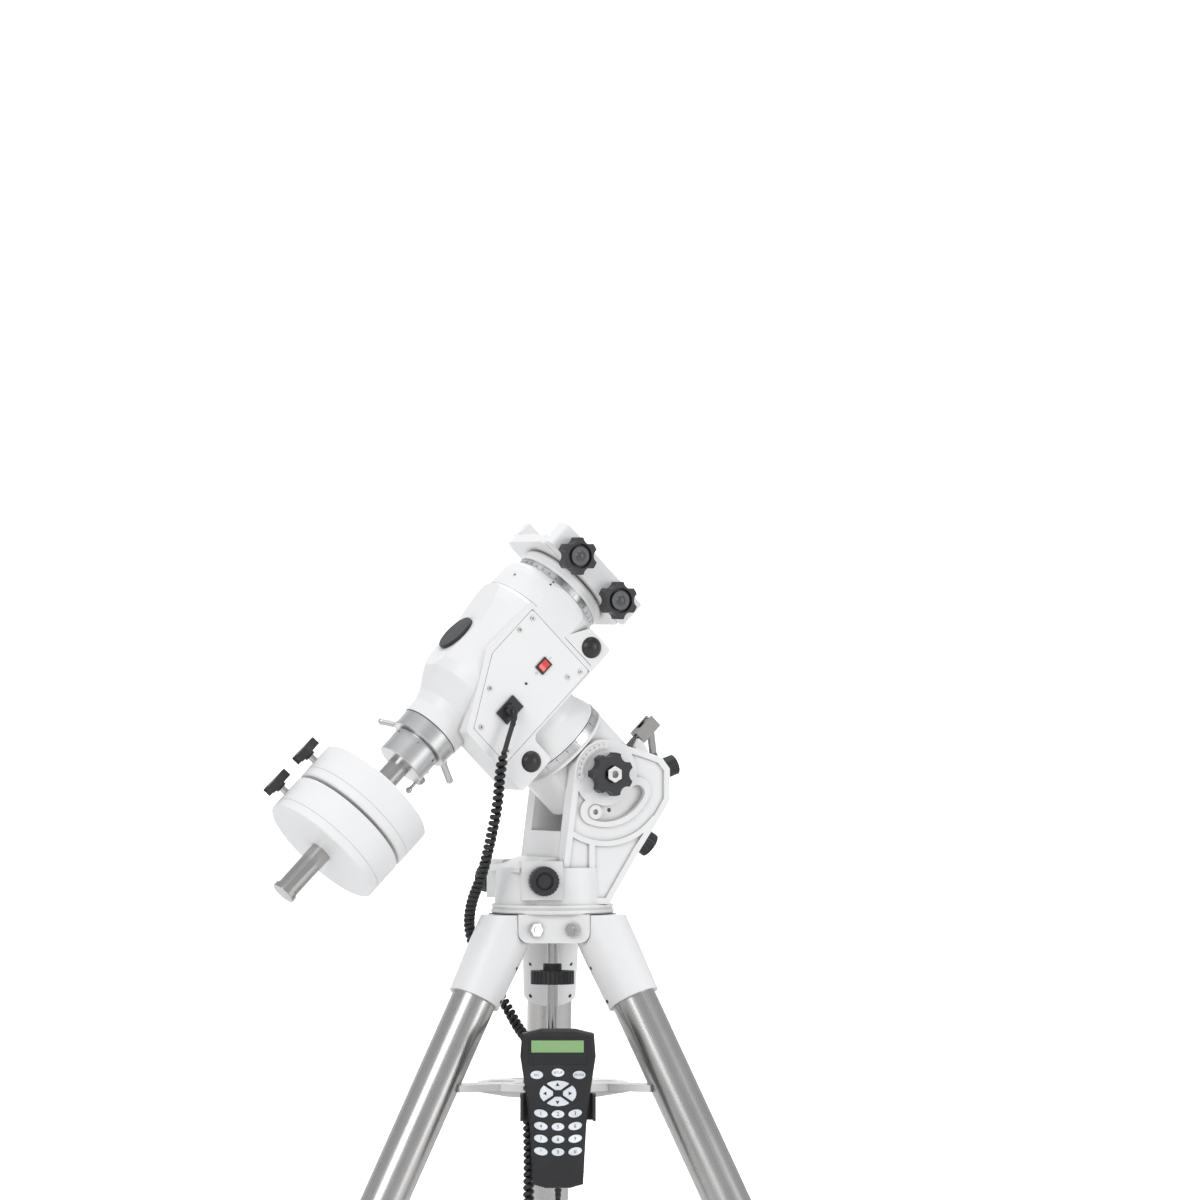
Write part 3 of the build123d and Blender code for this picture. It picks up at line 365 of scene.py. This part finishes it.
# %% Turned aluminium, with its marks round an axis
def turned_metal(name, origin, axis, tint=0.66, roughness=0.30):
    paint = Finish(name, Metallic=1.0)
    from_axis = paint.node("ShaderNodeVectorMath", {"operation": "SUBTRACT"}, {0: paint.place, 1: origin * 0.001})
    along = paint.node("ShaderNodeVectorMath", {"operation": "DOT_PRODUCT"}, {0: from_axis, 1: axis}, "Value")
    across = paint.node("ShaderNodeVectorMath", {"operation": "CROSS_PRODUCT"}, {0: from_axis, 1: axis})
    radius = paint.node("ShaderNodeVectorMath", {"operation": "LENGTH"}, {0: across}, "Value")
    at = paint.node("ShaderNodeCombineXYZ", {}, {0: along * 2600.0, 1: radius * 2600.0})
    rings = paint.noise(1.0, 3.0, at)
    cloud = paint.noise(30.0, 3.0)
    return paint.feed(
        Base_Color=paint.mix(rings * 0.6 + cloud * 0.4, grey(tint * 0.86, 0.01), grey(tint * 1.1, 0.0)),
        Roughness=rings * 0.16 + cloud * 0.10 + (roughness - 0.10),
        Normal=paint.bump(rings, 0.35, 0.00004),
    )


LEAN = radians(27.8)
LEGS = [radians(a) for a in (187.2, 307.2, 67.2)]
leg_axes = [Vector((cos(a) * sin(LEAN), sin(a) * sin(LEAN), -cos(LEAN))) for a in LEGS]
leg_steel = [steel(f"leg_steel_{k}", axis, 0.50, 0.26) for k, axis in enumerate(leg_axes, 1)]
shaft_steel = steel("shaft_steel", DOWN, 0.50, 0.20)
plated = steel("plated_steel", Vector((0, 1, 0)), 0.58, 0.22)
dark_plated = steel("dark_plated_steel", Vector((0, 1, 0)), 0.20, 0.18)
rod_plated = steel("plated_rod", UP, 0.62, 0.12)
dec_aluminium = turned_metal("turned_aluminium", CROSSING, DOWN)
ra_aluminium = turned_metal("turned_aluminium_ra", CROSSING, POLE)
print("metals made")

# %% [markdown]
# ## Glossy and printed things
# The rocker is translucent red, the display a green film behind a smoked window, and the marks are
# black ink. Even ink gets a little unevenness, because a pad print never covers perfectly.

# %% Rocker, display, lamp and ink
rocker_red = Finish("rocker_red", Roughness=0.22, Coat_Weight=0.5)
rocker_red = rocker_red.feed(
    Base_Color=rocker_red.mix(rocker_red.noise(160.0), (0.72, 0.035, 0.03, 1), (0.84, 0.075, 0.06, 1)))
display_green = Finish("display_green", Specular_IOR_Level=0.3)
cells = display_green.noise(900.0, 2.0)
display_green = display_green.feed(
    Base_Color=display_green.mix(cells, (0.24, 0.44, 0.18, 1), (0.30, 0.50, 0.22, 1)),
    Roughness=cells * 0.1 + 0.3)
smoked = Finish("smoked_window", Coat_Weight=0.6)
smears = smoked.noise(45.0, 4.0)
smoked = smoked.feed(
    Base_Color=smoked.mix(smears, (0.006, 0.006, 0.008, 1), (0.014, 0.014, 0.016, 1)),
    Roughness=smears * 0.14 + 0.08)
# This black is print on the dials, marks and keys, and painted shade in the screws' cross recesses
ink = Finish("black_ink_and_painted_shade", Specular_IOR_Level=0.3)
cover = ink.noise(2500.0, 2.0)
ink = ink.feed(Base_Color=ink.mix(cover, grey(0.015), grey(0.05)), Roughness=cover * 0.2 + 0.5)
grey_ink = Finish("grey_ink", Specular_IOR_Level=0.3)
cover = grey_ink.noise(2500.0, 2.0)
grey_ink = grey_ink.feed(Base_Color=grey_ink.mix(cover, grey(0.18), grey(0.26)), Roughness=cover * 0.2 + 0.5)
brass = Finish("gold_contact", Metallic=1.0)
rub = brass.noise(1200.0)
brass = brass.feed(Base_Color=brass.mix(rub, (0.72, 0.50, 0.20, 1), (0.85, 0.64, 0.30, 1)), Roughness=rub * 0.2 + 0.2)
print("printed and glossy finishes made")

# %% [markdown]
# ## Dressing the CAD nodes
# Each CAD node takes one finish, or two where one node holds two materials: a leg's lower part is a
# steel tube with a rubber foot. Faces are told apart by where they lie.


# %% Give each node its finish
def dress(node, *finishes, choose=None):
    mesh = frame["nodes"][node].data
    mesh.materials.clear()
    for finish in finishes:
        mesh.materials.append(finish)
    for face in mesh.polygons:
        face.material_index = choose(face) if choose else 0


WHITE = ("tripod_hub", "leg_sockets", "leg_clamps", "spreader_tray", "fork_base", "guide_bolts",
         "latitude_scales", "ra_housing", "ra_head", "saddle", "saddle_jaw")
BLACK = ("leg_1_lock_knob", "leg_2_lock_knob", "leg_3_lock_knob", "rod_knob", "tray_knob",
         "azimuth_knob_near", "azimuth_knob_far", "altitude_star_knob_near", "altitude_star_knob_far",
         "rear_knob_upper", "rear_knob_lower", "polar_scope", "polar_cap", "panel_sockets",
         "controller_cradle")
PLATED = ("hub_bolts", "altitude_nuts", "panel_screws", "collar_screw")
DARK_PLATED = ("altitude_screw", "crank_handle")
for names, finish in ((WHITE, white_casting), (BLACK, black_knob), (PLATED, plated), (DARK_PLATED, dark_plated)):
    for node in names:
        dress(node, finish)
for node, finish in {
    "centre_rod": rod_plated, "control_panel": white_panel, "blanking_caps": black_cap,
    "power_switch": rocker_red, "controller_case": black_shell, "controller_window": smoked,
    "keys_function": key_rubber, "keys_arrow": key_rubber, "keys_number": key_rubber,
    "ra_setting_circle": ra_aluminium, "dec_setting_circle": dec_aluminium,
    "dec_clutch_ring": dec_aluminium, "shaft_collar": dec_aluminium,
    "ra_shaft": ra_aluminium, "dec_shaft": shaft_steel, "counterweight_shaft": shaft_steel,
    "counterweight_1": white_weight, "counterweight_2": white_weight,
}.items():
    dress(node, finish)


def nearest_leg(face):
    return max(range(3), key=lambda k: face.center.x * cos(LEGS[k]) + face.center.y * sin(LEGS[k]))


dress("leg_tubes", *leg_steel, choose=nearest_leg)
def on_foot(azimuth, axis):
    """Tube or foot: the foot's faces lie outside the tube or close to the floor."""
    start = Vector((cos(azimuth) * 62, sin(azimuth) * 62, 743))

    def test(face):
        place = face.center * 1000 - start
        return int((place - axis * place.dot(axis)).length > 22.6 or face.center.z < 0.03)

    return test


for k in range(3):
    dress(f"leg_{k + 1}_lower", leg_steel[k], foot_rubber, choose=on_foot(LEGS[k], leg_axes[k]))


def on_stud(node, centre, reach):
    """Stud or grip: faces near the screw's own axis and inside the grip are plated."""
    return lambda face: int((face.center * 1000 - centre).length < reach)


THUMB = radians(-14)
thumb_out = HEAD.to_3x3() @ Vector((0, sin(THUMB), cos(THUMB))) * 1000
for k, t in enumerate((193.0, 242.0), 1):
    foot = CROSSING + DOWN * (t + 22.5)
    dress(f"weight_thumbscrew_{k}", black_knob, plated,
          choose=lambda face, foot=foot: int((face.center * 1000 - foot).dot(thumb_out) < 80.2))
def part_of_knob(middle):
    """Grip, stud or the glossy boss in the middle of the grip's face, whose lighter grey is a painted highlight."""
    def test(face):
        reach = -face.center.y * 1000
        off = face.center * 1000 - middle
        if reach < 62.2:
            return 1
        return 2 if reach > 79.5 and Vector((off.x, 0, off.z)).length < 10.6 else 0

    return test


for k, along_pole in ((1, 35), (2, -35)):
    middle = CROSSING + DOWN * -142 + POLE * along_pole
    dress(f"saddle_knob_{k}", black_knob, plated, boss_painted_highlight, choose=part_of_knob(middle))
print("nodes dressed")

# %% [markdown]
# ## The coiled lead
# The controller's lead leaves a plug on the panel as a plain strand, coils for most of its length,
# and straightens again just before the controller. It hangs from the plug, passes behind the near
# leg, rests over the tray's rim and comes up into the controller's foot. A smooth NURBS line gives
# the way that the coil takes. The helix is then wound round that line point by point, carrying a
# sideways vector along so that the coil doesn't twist where the line bends.

# %% The way the coil takes, in millimetres
CORD_WAY = (
    (-81, -70, 972), (-90, -73, 950), (-97, -72, 922), (-98, -69, 886), (-100, -54, 846),
    (-99, -28, 804), (-98, 8, 770), (-86, 38, 736), (-62, 52, 698), (-41, 42, 660),
    (-35, 18, 632), (-33, -9, 616), (-36, -37, 615), (-49, -59, 612), (-61.5, -72, 588),
    (-63, -72.5, 540), (-62, -73.5, 488), (-63, -73, 440), (-63, -73.3, 403),
    (-53.3, -91.5, 391), (-43.6, -110, 403), (-43.6, -110.2, 458.5),
)
STRAND = 5.8
COIL_RADIUS = 3.7
PITCH = 7.4
LEAD_IN, LEAD_OUT = 30.0, 20.0
STEPS_PER_TURN = 12


def nurbs(name, points):
    curve = bpy.data.curves.new(name, "CURVE")
    curve.dimensions = "3D"
    spline = curve.splines.new("NURBS")
    spline.points.add(len(points) - 1)
    for point, place in zip(spline.points, points):
        point.co = (*(Vector(place) * 0.001), 1)
    spline.order_u = 3
    spline.use_endpoint_u = True
    return curve


def along(curve, resolution):
    """The points of the curve's own line, in millimetres."""
    curve.resolution_u = resolution
    holder = bpy.data.objects.new("way", curve)
    mesh = bpy.data.meshes.new_from_object(holder)
    points = [v.co * 1000 for v in mesh.vertices]
    bpy.data.meshes.remove(mesh)
    bpy.data.objects.remove(holder)
    return points


def evenly(points, step):
    """The same line with a point every step, each with its direction."""
    out, carried = [], 0.0
    for a, b in zip(points, points[1:]):
        run = (b - a).length
        while carried < run:
            out.append((a.lerp(b, carried / run), (b - a).normalized()))
            carried += step
        carried -= run
    return out


way = along(nurbs("coil_way", CORD_WAY), 24)
step = PITCH / STEPS_PER_TURN
line = evenly(way, step)
total = len(line) * step
side = Vector((0, 0, 1)).cross(line[0][1]).normalized()
helix = []
for k, (point, ahead) in enumerate(line):
    side = (side - ahead * side.dot(ahead)).normalized()
    done = k * step
    swell = min(1.0, max(0.0, (done - LEAD_IN) / 14), 1.0) * min(1.0, max(0.0, (total - LEAD_OUT - done) / 12))
    turn = 2 * pi * done / PITCH
    if swell > 0 or k % STEPS_PER_TURN == 0:
        helix.append(point + (side * cos(turn) + ahead.cross(side) * sin(turn)) * COIL_RADIUS * swell)
helix = [a for a, b in zip(helix, helix[1:]) if (b - a).length > 0.5] + [Vector(CORD_WAY[-1])]
curly = nurbs("curly_lead", helix)
curly.resolution_u = 2
curly.bevel_depth = STRAND / 2000
curly.bevel_resolution = 3
curly.use_fill_caps = True
curly.materials.append(cord_jacket)
lead = bpy.data.objects.new("curly_lead", curly)
scene.collection.objects.link(lead)
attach(lead, "tripod")
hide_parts("curly_cord")
lead_length = sum((b - a).length for a, b in zip(helix, helix[1:]))
print("coil line", round(total), "mm, lead", round(lead_length), "mm,", len(helix), "points")

# %% [markdown]
# ## The plugs
# At the panel a modular plug stands out of its port, and a moulded boot turns the strand downwards.
# A second boot meets the controller's foot. The plug and its boot turn with the head. The lead itself
# stays with the tripod, because a coil that stretches after a turning head can't be one rigid piece.



# %% A tapered boot along a short line
def boot(name, points, radii, body, ribs=0):
    curve = nurbs(name, points)
    path = evenly(along(curve, 12), 0.6)
    bpy.data.curves.remove(curve)
    batch = Batch()
    side = path[0][1].orthogonal().normalized()
    rings = []
    for k, (point, ahead) in enumerate(path):
        side = (side - ahead * side.dot(ahead)).normalized()
        share = k / (len(path) - 1)
        r = radii[0] + (radii[1] - radii[0]) * share
        if ribs:
            r -= 0.45 * (sin(share * ribs * 2 * pi) > 0.2)
        cross = ahead.cross(side)
        rings.append([batch.bm.verts.new((point + (side * cos(a) + cross * sin(a)) * r) * 0.001)
                      for a in [2 * pi * i / 24 for i in range(24)]])
    for a, b in zip(rings, rings[1:]):
        for i in range(24):
            batch.bm.faces.new((a[i], a[(i + 1) % 24], b[(i + 1) % 24], b[i]))
    batch.bm.faces.new(rings[0][::-1])
    batch.bm.faces.new(rings[-1])
    return batch.piece(name, body, cord_jacket, "cord_jacket", smooth=True)


PORT = CROSSING + DOWN * 32 + Vector((0, -60, 0)) + POLE * -33
plug = Batch()
for x, width, height, y0, y1 in ((0, 11.4, 8.0, 55.0, 63.5), (0, 13.4, 10.0, 62.0, 69.5)):
    plug.block((width, y1 - y0, height), HEAD @ Matrix.Translation((32, (y0 + y1) / 2, -33)))
plug.block((4.2, 12.0, 2.0), HEAD @ Matrix.Translation((32, 63.0, -27.6)) @ Matrix.Rotation(radians(-9), 4, "X"))
plug = plug.piece("lead_plug", "ra_head", black_knob, "black_plastic")
bevel = plug.modifiers.new("moulded edges", "BEVEL")
bevel.width, bevel.segments = 0.0007, 2
top_boot = boot("lead_boot", (PORT + Vector((0, -6, 0)), (-78.5, -70.5, 989), (-78.8, -71.5, 981), (-81, -70, 971)),
                (4.0, 3.0), "ra_head", 3)
foot_boot = boot("controller_boot", ((-43.6, -110.2, 446), (-43.6, -110.2, 453), (-43.6, -110.2, 458.5)),
                 (3.0, 4.0), "tripod", 2)

# %% [markdown]
# ## Setting circles
# The setting circles are turned rings with engraved marks: degrees on the declination circle and
# hours on the right ascension one. A mark is a thin block that stands a few hundredths of a
# millimetre proud of the rim. The longer marks carry numbers, as on any dial.


# %% Marks and numbers round a rim
def dial(batch, radius, low, high, count, long_every, label, flip=False):
    """Marks round the local z axis between two heights, and numbers at the long ones."""
    for k in range(count):
        angle = 2 * pi * k / count
        long = k % long_every == 0
        middle = k % long_every == long_every // 2 and long_every % 2 == 0
        length = (high - low) * (0.50 if long else 0.38 if middle else 0.26)
        spin = Matrix.Rotation(angle, 4, "Z")
        at = batch.at @ spin @ Matrix.Translation((radius, 0, low + length / 2))
        batch.block((0.10, 0.34 if long else 0.26, length), at)
        if long:
            up = Vector((0, 0, -1 if flip else 1))
            where = looking(Vector((radius - 0.03, 0, high - (high - low) * 0.24)), Vector((1, 0, 0)), up)
            batch.words(label(k // long_every), (high - low) * 0.36, batch.at @ spin @ where)


dec_marks = Batch()
dec_marks.at = HEAD @ Matrix.Rotation(radians(90), 4, "Y")
dial(dec_marks, 54.0, -119.6, -112.7, 180, 5, lambda k: str(abs(90 - abs((k * 10) % 360 - 180) % 180)), flip=True)
dec_marks.piece("dec_circle_marks", "dec", ink, "black_plastic")
ra_marks = Batch()
ra_marks.at = HEAD
dial(ra_marks, 57.6, -123.6, -114.6, 144, 6, str)
ra_marks.piece("ra_circle_marks", "ra_base", ink, "black_plastic")

# %% [markdown]
# ## Index marks
# Small black triangles on the castings point at the circles, so that the reading has a place to be
# read from. Two stand on the collar beside the declination circle.

# %% Index triangles
ARROW = ((-1.6, -1.4), (1.6, -1.4), (0, 1.6))
marks = Batch()
for x, angle in ((-108.0, 62.0), (-103.4, 62.0)):
    radius = 60.2 if x < -106 else 62.05
    out = Vector((0, sin(radians(angle)), cos(radians(angle))))
    at = looking(Vector((x, 0, 0)) + out * radius, out, Vector((-1, 0, 0)))
    marks.prism(ARROW, 0.12, HEAD @ at)
marks.piece("head_index_marks", "ra_head", ink, "black_plastic")

# %% [markdown]
# ## Latitude scales
# Each fork arm carries an arc of numbers that reads the altitude of the pole. The plate's marks run
# outwards from the axis, two degrees apart, with a number every ten.

# %% Latitude marks on both arms
latitude = Batch()
for side in (-1, 1):
    face = Matrix.Translation(ALTITUDE + Vector((0, side * 60.2, 0)))
    for k in range(41):
        angle = radians(96 + 2.1 * k)
        long = k % 5 == 0
        out = Vector((cos(angle), 0, sin(angle)))
        length = 2.6 if long else 1.5
        at = looking(out * (28.0 + length / 2), Vector((0, side, 0)), out)
        latitude.block((0.28, length, 0.10), MM @ face @ at)
        if long:
            label = looking(out * 33.2, Vector((0, side, 0)), out)
            latitude.words(str(k // 5 * 10), 2.7, MM @ face @ label)
latitude.piece("latitude_marks", "base", grey_ink, "black_plastic")

# %% [markdown]
# ## Screws and slots
# The panel's screws are small pan heads with a cross recess. A recess is dark because light does not
# come back out of it, so each is drawn as a black cross of painted shade that lies a hair above the head.
# The scale plates, the end cap and the leg sockets have little screws of their own.

# %% Cross recesses and small screws
CROSS = ((-1.5, -0.34), (-0.34, -0.34), (-0.34, -1.5), (0.34, -1.5), (0.34, -0.34), (1.5, -0.34),
         (1.5, 0.34), (0.34, 0.34), (0.34, 1.5), (-0.34, 1.5), (-0.34, 0.34), (-1.5, 0.34))
PANEL_SCREWS = ((-60.0, 19.0), (-40.0, 21.0), (-59.0, -65.0), (-44.0, -58.0), (32.0, 1.0), (70.0, -22.0), (66.0, -64.0))
# Each cross is black ink standing on the head as painted shade for the recess
recesses = Batch()
for k, (x, z) in enumerate(PANEL_SCREWS):
    at = looking(Vector((x, 58.18, z)), Vector((0, 1, 0)), Vector((cos(k * 1.9), 0, sin(k * 1.9))))
    recesses.prism(CROSS, 0.06, HEAD @ at)
recesses.piece("panel_screw_recess_shade", "ra_head", ink, "black_plastic")


def small_screw(heads, slots, where, r=2.2):
    heads.turned(((r, -1.5), (r, 0.5), (r * 0.8, 0.9)), where, 20)
    # The black cross on the crown is painted shade for the screw's recess
    slots.prism([(x * r / 2.6, y * r / 2.6) for x, y in CROSS], 0.06, where @ Matrix.Translation((0, 0, 0.88)))


heads, slots = Batch(), Batch()
for side in (-1, 1):
    for angle in (88.0, 188.0):
        out = Vector((cos(radians(angle)), 0, sin(radians(angle))))
        at = looking(ALTITUDE + out * 31.5 + Vector((0, side * 59.0, 0)), Vector((0, side, 0)), out)
        small_screw(heads, slots, MM @ at, 2.0)
heads.piece("scale_screws", "base", plated, "chrome", smooth=True)
slots.piece("scale_screw_recess_shade", "base", ink, "black_plastic")
heads, slots = Batch(), Batch()
for angle in (22.0, 112.0, 202.0, 292.0):
    out = Vector((0, sin(radians(angle)), cos(radians(angle))))
    if abs(out.y) * 62.5 < 56:
        at = looking(Vector((-90, 0, 0)) + out * 62.4, out, Vector((1, 0, 0)))
        small_screw(heads, slots, HEAD @ at, 1.7)
heads.piece("end_cap_screws", "ra_head", plated, "chrome", smooth=True)
slots.piece("end_cap_screw_recess_shade", "ra_head", ink, "black_plastic")
heads, slots = Batch(), Batch()
for axis, azimuth in zip(leg_axes, LEGS):
    start = Vector((cos(azimuth) * 62, sin(azimuth) * 62, 743))
    inward = (Vector((-cos(azimuth), -sin(azimuth), 0)) - axis * Vector((-cos(azimuth), -sin(azimuth), 0)).dot(axis)).normalized()
    across = axis.cross(inward)
    for turn, down_leg, radius in ((-48, 80, 29.9), (48, 80, 29.9), (-48, 38, 30.7), (48, 38, 30.7)):
        out = inward * cos(radians(turn)) + across * sin(radians(turn))
        small_screw(heads, slots, MM @ looking(start + axis * down_leg + out * radius, out, axis), 2.3)
heads.piece("socket_screws", "tripod", black_knob, "black_plastic", smooth=True)
slots.piece("socket_screw_recess_shade", "tripod", ink, "black_plastic")

# %% [markdown]
# ## The panel's small parts
# Two pilot lamps and the gold contacts inside the ports. A light-emitting diode is a
# little dome with a flat rim; it is off here, so it only shines a bit. The power switch has the
# usual I and O.

# %% Lamp, contacts and printed signs
lamps = Batch()
for x, z in ((-3.0, -27.0), (21.0, -30.0)):
    at = HEAD @ looking(Vector((x, 56.4, z)), Vector((0, 1, 0)), Vector((0, 0, 1)))
    dome = [(1.5 * cos(a), 0.9 + 1.0 * sin(a)) for a in [radians(12 * i) for i in range(8)]]
    lamps.turned([(1.5, 0.0)] + dome, at, 20)
lamps.piece("pilot_lamps", "ra_head", smoked, "black_plastic", smooth=True)
pins = Batch()
for k in range(8):
    pins.block((0.45, 3.4, 0.35), HEAD @ Matrix.Translation((32 + (k - 3.5) * 1.1, 54.2, -36.6)))
pins.piece("port_contacts", "ra_head", brass, "brass" if "brass" in [m["slot"] for m in frame["record"]["materials"]] else None)
signs = Batch()
sign_up = Vector((-1, 0, 0))
for text, x, z, size in (("I", -44.0, -28, 3.2), ("O", -20.0, -28, 3.2)):
    signs.words(text, size, HEAD @ looking(Vector((x, 57.0, z)), Vector((0, 1, 0)), sign_up))
signs.piece("panel_signs", "ra_head", grey_ink, "black_plastic")

# %% [markdown]
# ## The hand controller's face
# Behind the smoked window lies a green character display. The keys are pale rubber with black
# legends: arrows on the four direction keys and digits on the number keys.

# %% Display and key legends
FRONT = 13.5
TOP = -284.5
screen = Batch()
screen.block((58.0, 0.5, 13.2), HAND @ Matrix.Translation((0.5, FRONT + 0.1, TOP - 19.0)))
screen.piece("display", "controller", display_green, "display_window")
legends = {name: Batch() for name in ("keys_function", "keys_arrow", "keys_number")}


def on_key(x, z):
    return HAND @ looking(Vector((x, FRONT + 1.57, z)), Vector((0, 1, 0)), Vector((0, 0, 1)))


for text, x, drop in (("ENTER", -23.5, 50.5), ("SETUP", 0, 48.0), ("ESC", 23.5, 50.5)):
    legends["keys_function"].words(text, 2.6, on_key(x, TOP - drop))
for dx, dz, spin in ((0, 10.0, 0), (14.0, 0, 90), (0, -10.0, 180), (-14.0, 0, -90)):
    turn = on_key(0.5 + dx, TOP - 71 + dz) @ Matrix.Rotation(radians(spin), 4, "Z")
    legends["keys_arrow"].prism(((-2.2, -1.7), (2.2, -1.7), (0, 2.2)), 0.06, turn)
DIGITS = ("123", "456", "789", "*0#")
for row, digits in enumerate(DIGITS):
    for col, digit in zip((1, 0, -1), digits):
        legends["keys_number"].words(digit, 4.2, on_key(19 * col, TOP - 94 - 14 * row + 0.8 * abs(col)))
for name, batch in legends.items():
    batch.piece(name.replace("keys", "legends"), name, ink, "black_plastic")

# %% [markdown]
# ## The studio
# A pale sweep of paper runs under the tripod and curves up behind it, so there is no horizon. Light
# comes from a big soft panel on the left, a weaker one on the right to open the shadows, and one
# overhead. White paint on a white ground needs that difference: the side away from the key light
# falls to a gentle grey, and that is what draws its edges.


# %% Sweep, lights and world
def sweep_of_paper():
    bm = bmesh.new()
    profile = [(-16.0, 0.0), (4.0, 0.0)]
    profile += [(4.0 + 3.0 * sin(a), 3.0 - 3.0 * cos(a)) for a in [radians(9 * k) for k in range(1, 11)]]
    profile += [(7.0, 12.0)]
    toward = Vector((sin(radians(24.6)), cos(radians(24.6)), 0))
    across = Vector((toward.y, -toward.x, 0))
    rows = []
    for far, height in profile:
        rows.append([bm.verts.new(toward * far + across * w + UP * (height - 0.0005)) for w in (-14, 14)])
    for a, b in zip(rows, rows[1:]):
        bm.faces.new((a[0], a[1], b[1], b[0]))
    mesh = bpy.data.meshes.new("paper_sweep")
    bm.to_mesh(mesh)
    bm.free()
    for face in mesh.polygons:
        face.use_smooth = True
    made = bpy.data.objects.new("paper_sweep", mesh)
    scene.collection.objects.link(made)
    paper = Finish("pale_paper", Specular_IOR_Level=0.1)
    tooth = paper.noise(3.0, 3.0)
    made.data.materials.append(paper.feed(Base_Color=paper.mix(tooth, grey(0.90), grey(0.92)), Roughness=tooth * 0.1 + 0.8))


def softbox(name, place, target, size, watts):
    light = bpy.data.lights.new(name, "AREA")
    light.shape, light.size, light.size_y = "RECTANGLE", size[0], size[1]
    light.energy = watts
    holder = bpy.data.objects.new(name, light)
    scene.collection.objects.link(holder)
    holder.location = place
    holder.rotation_euler = (Vector(target) - Vector(place)).to_track_quat("-Z", "Y").to_euler()


sweep_of_paper()
softbox("key_panel", (-3.6, -2.6, 3.0), (0, 0, 0.9), (2.2, 2.2), 64)
softbox("fill_panel", (2.6, -3.4, 1.6), (0, 0, 0.8), (1.6, 2.4), 38)
softbox("top_panel", (0.3, 0.2, 3.6), (0, 0, 0.8), (2.2, 2.2), 38)
softbox("back_panel", (1.5, 3.2, 2.6), (0.5, 5.5, 1.5), (3.0, 3.0), 160)
world = bpy.data.worlds.new("studio_air")
world.use_nodes = True
world.node_tree.nodes["Background"].inputs["Color"].default_value = (0.95, 0.97, 1.0, 1)
world.node_tree.nodes["Background"].inputs["Strength"].default_value = 0.60
scene.world = world
scene.view_settings.view_transform = "Standard"
print("studio lit")
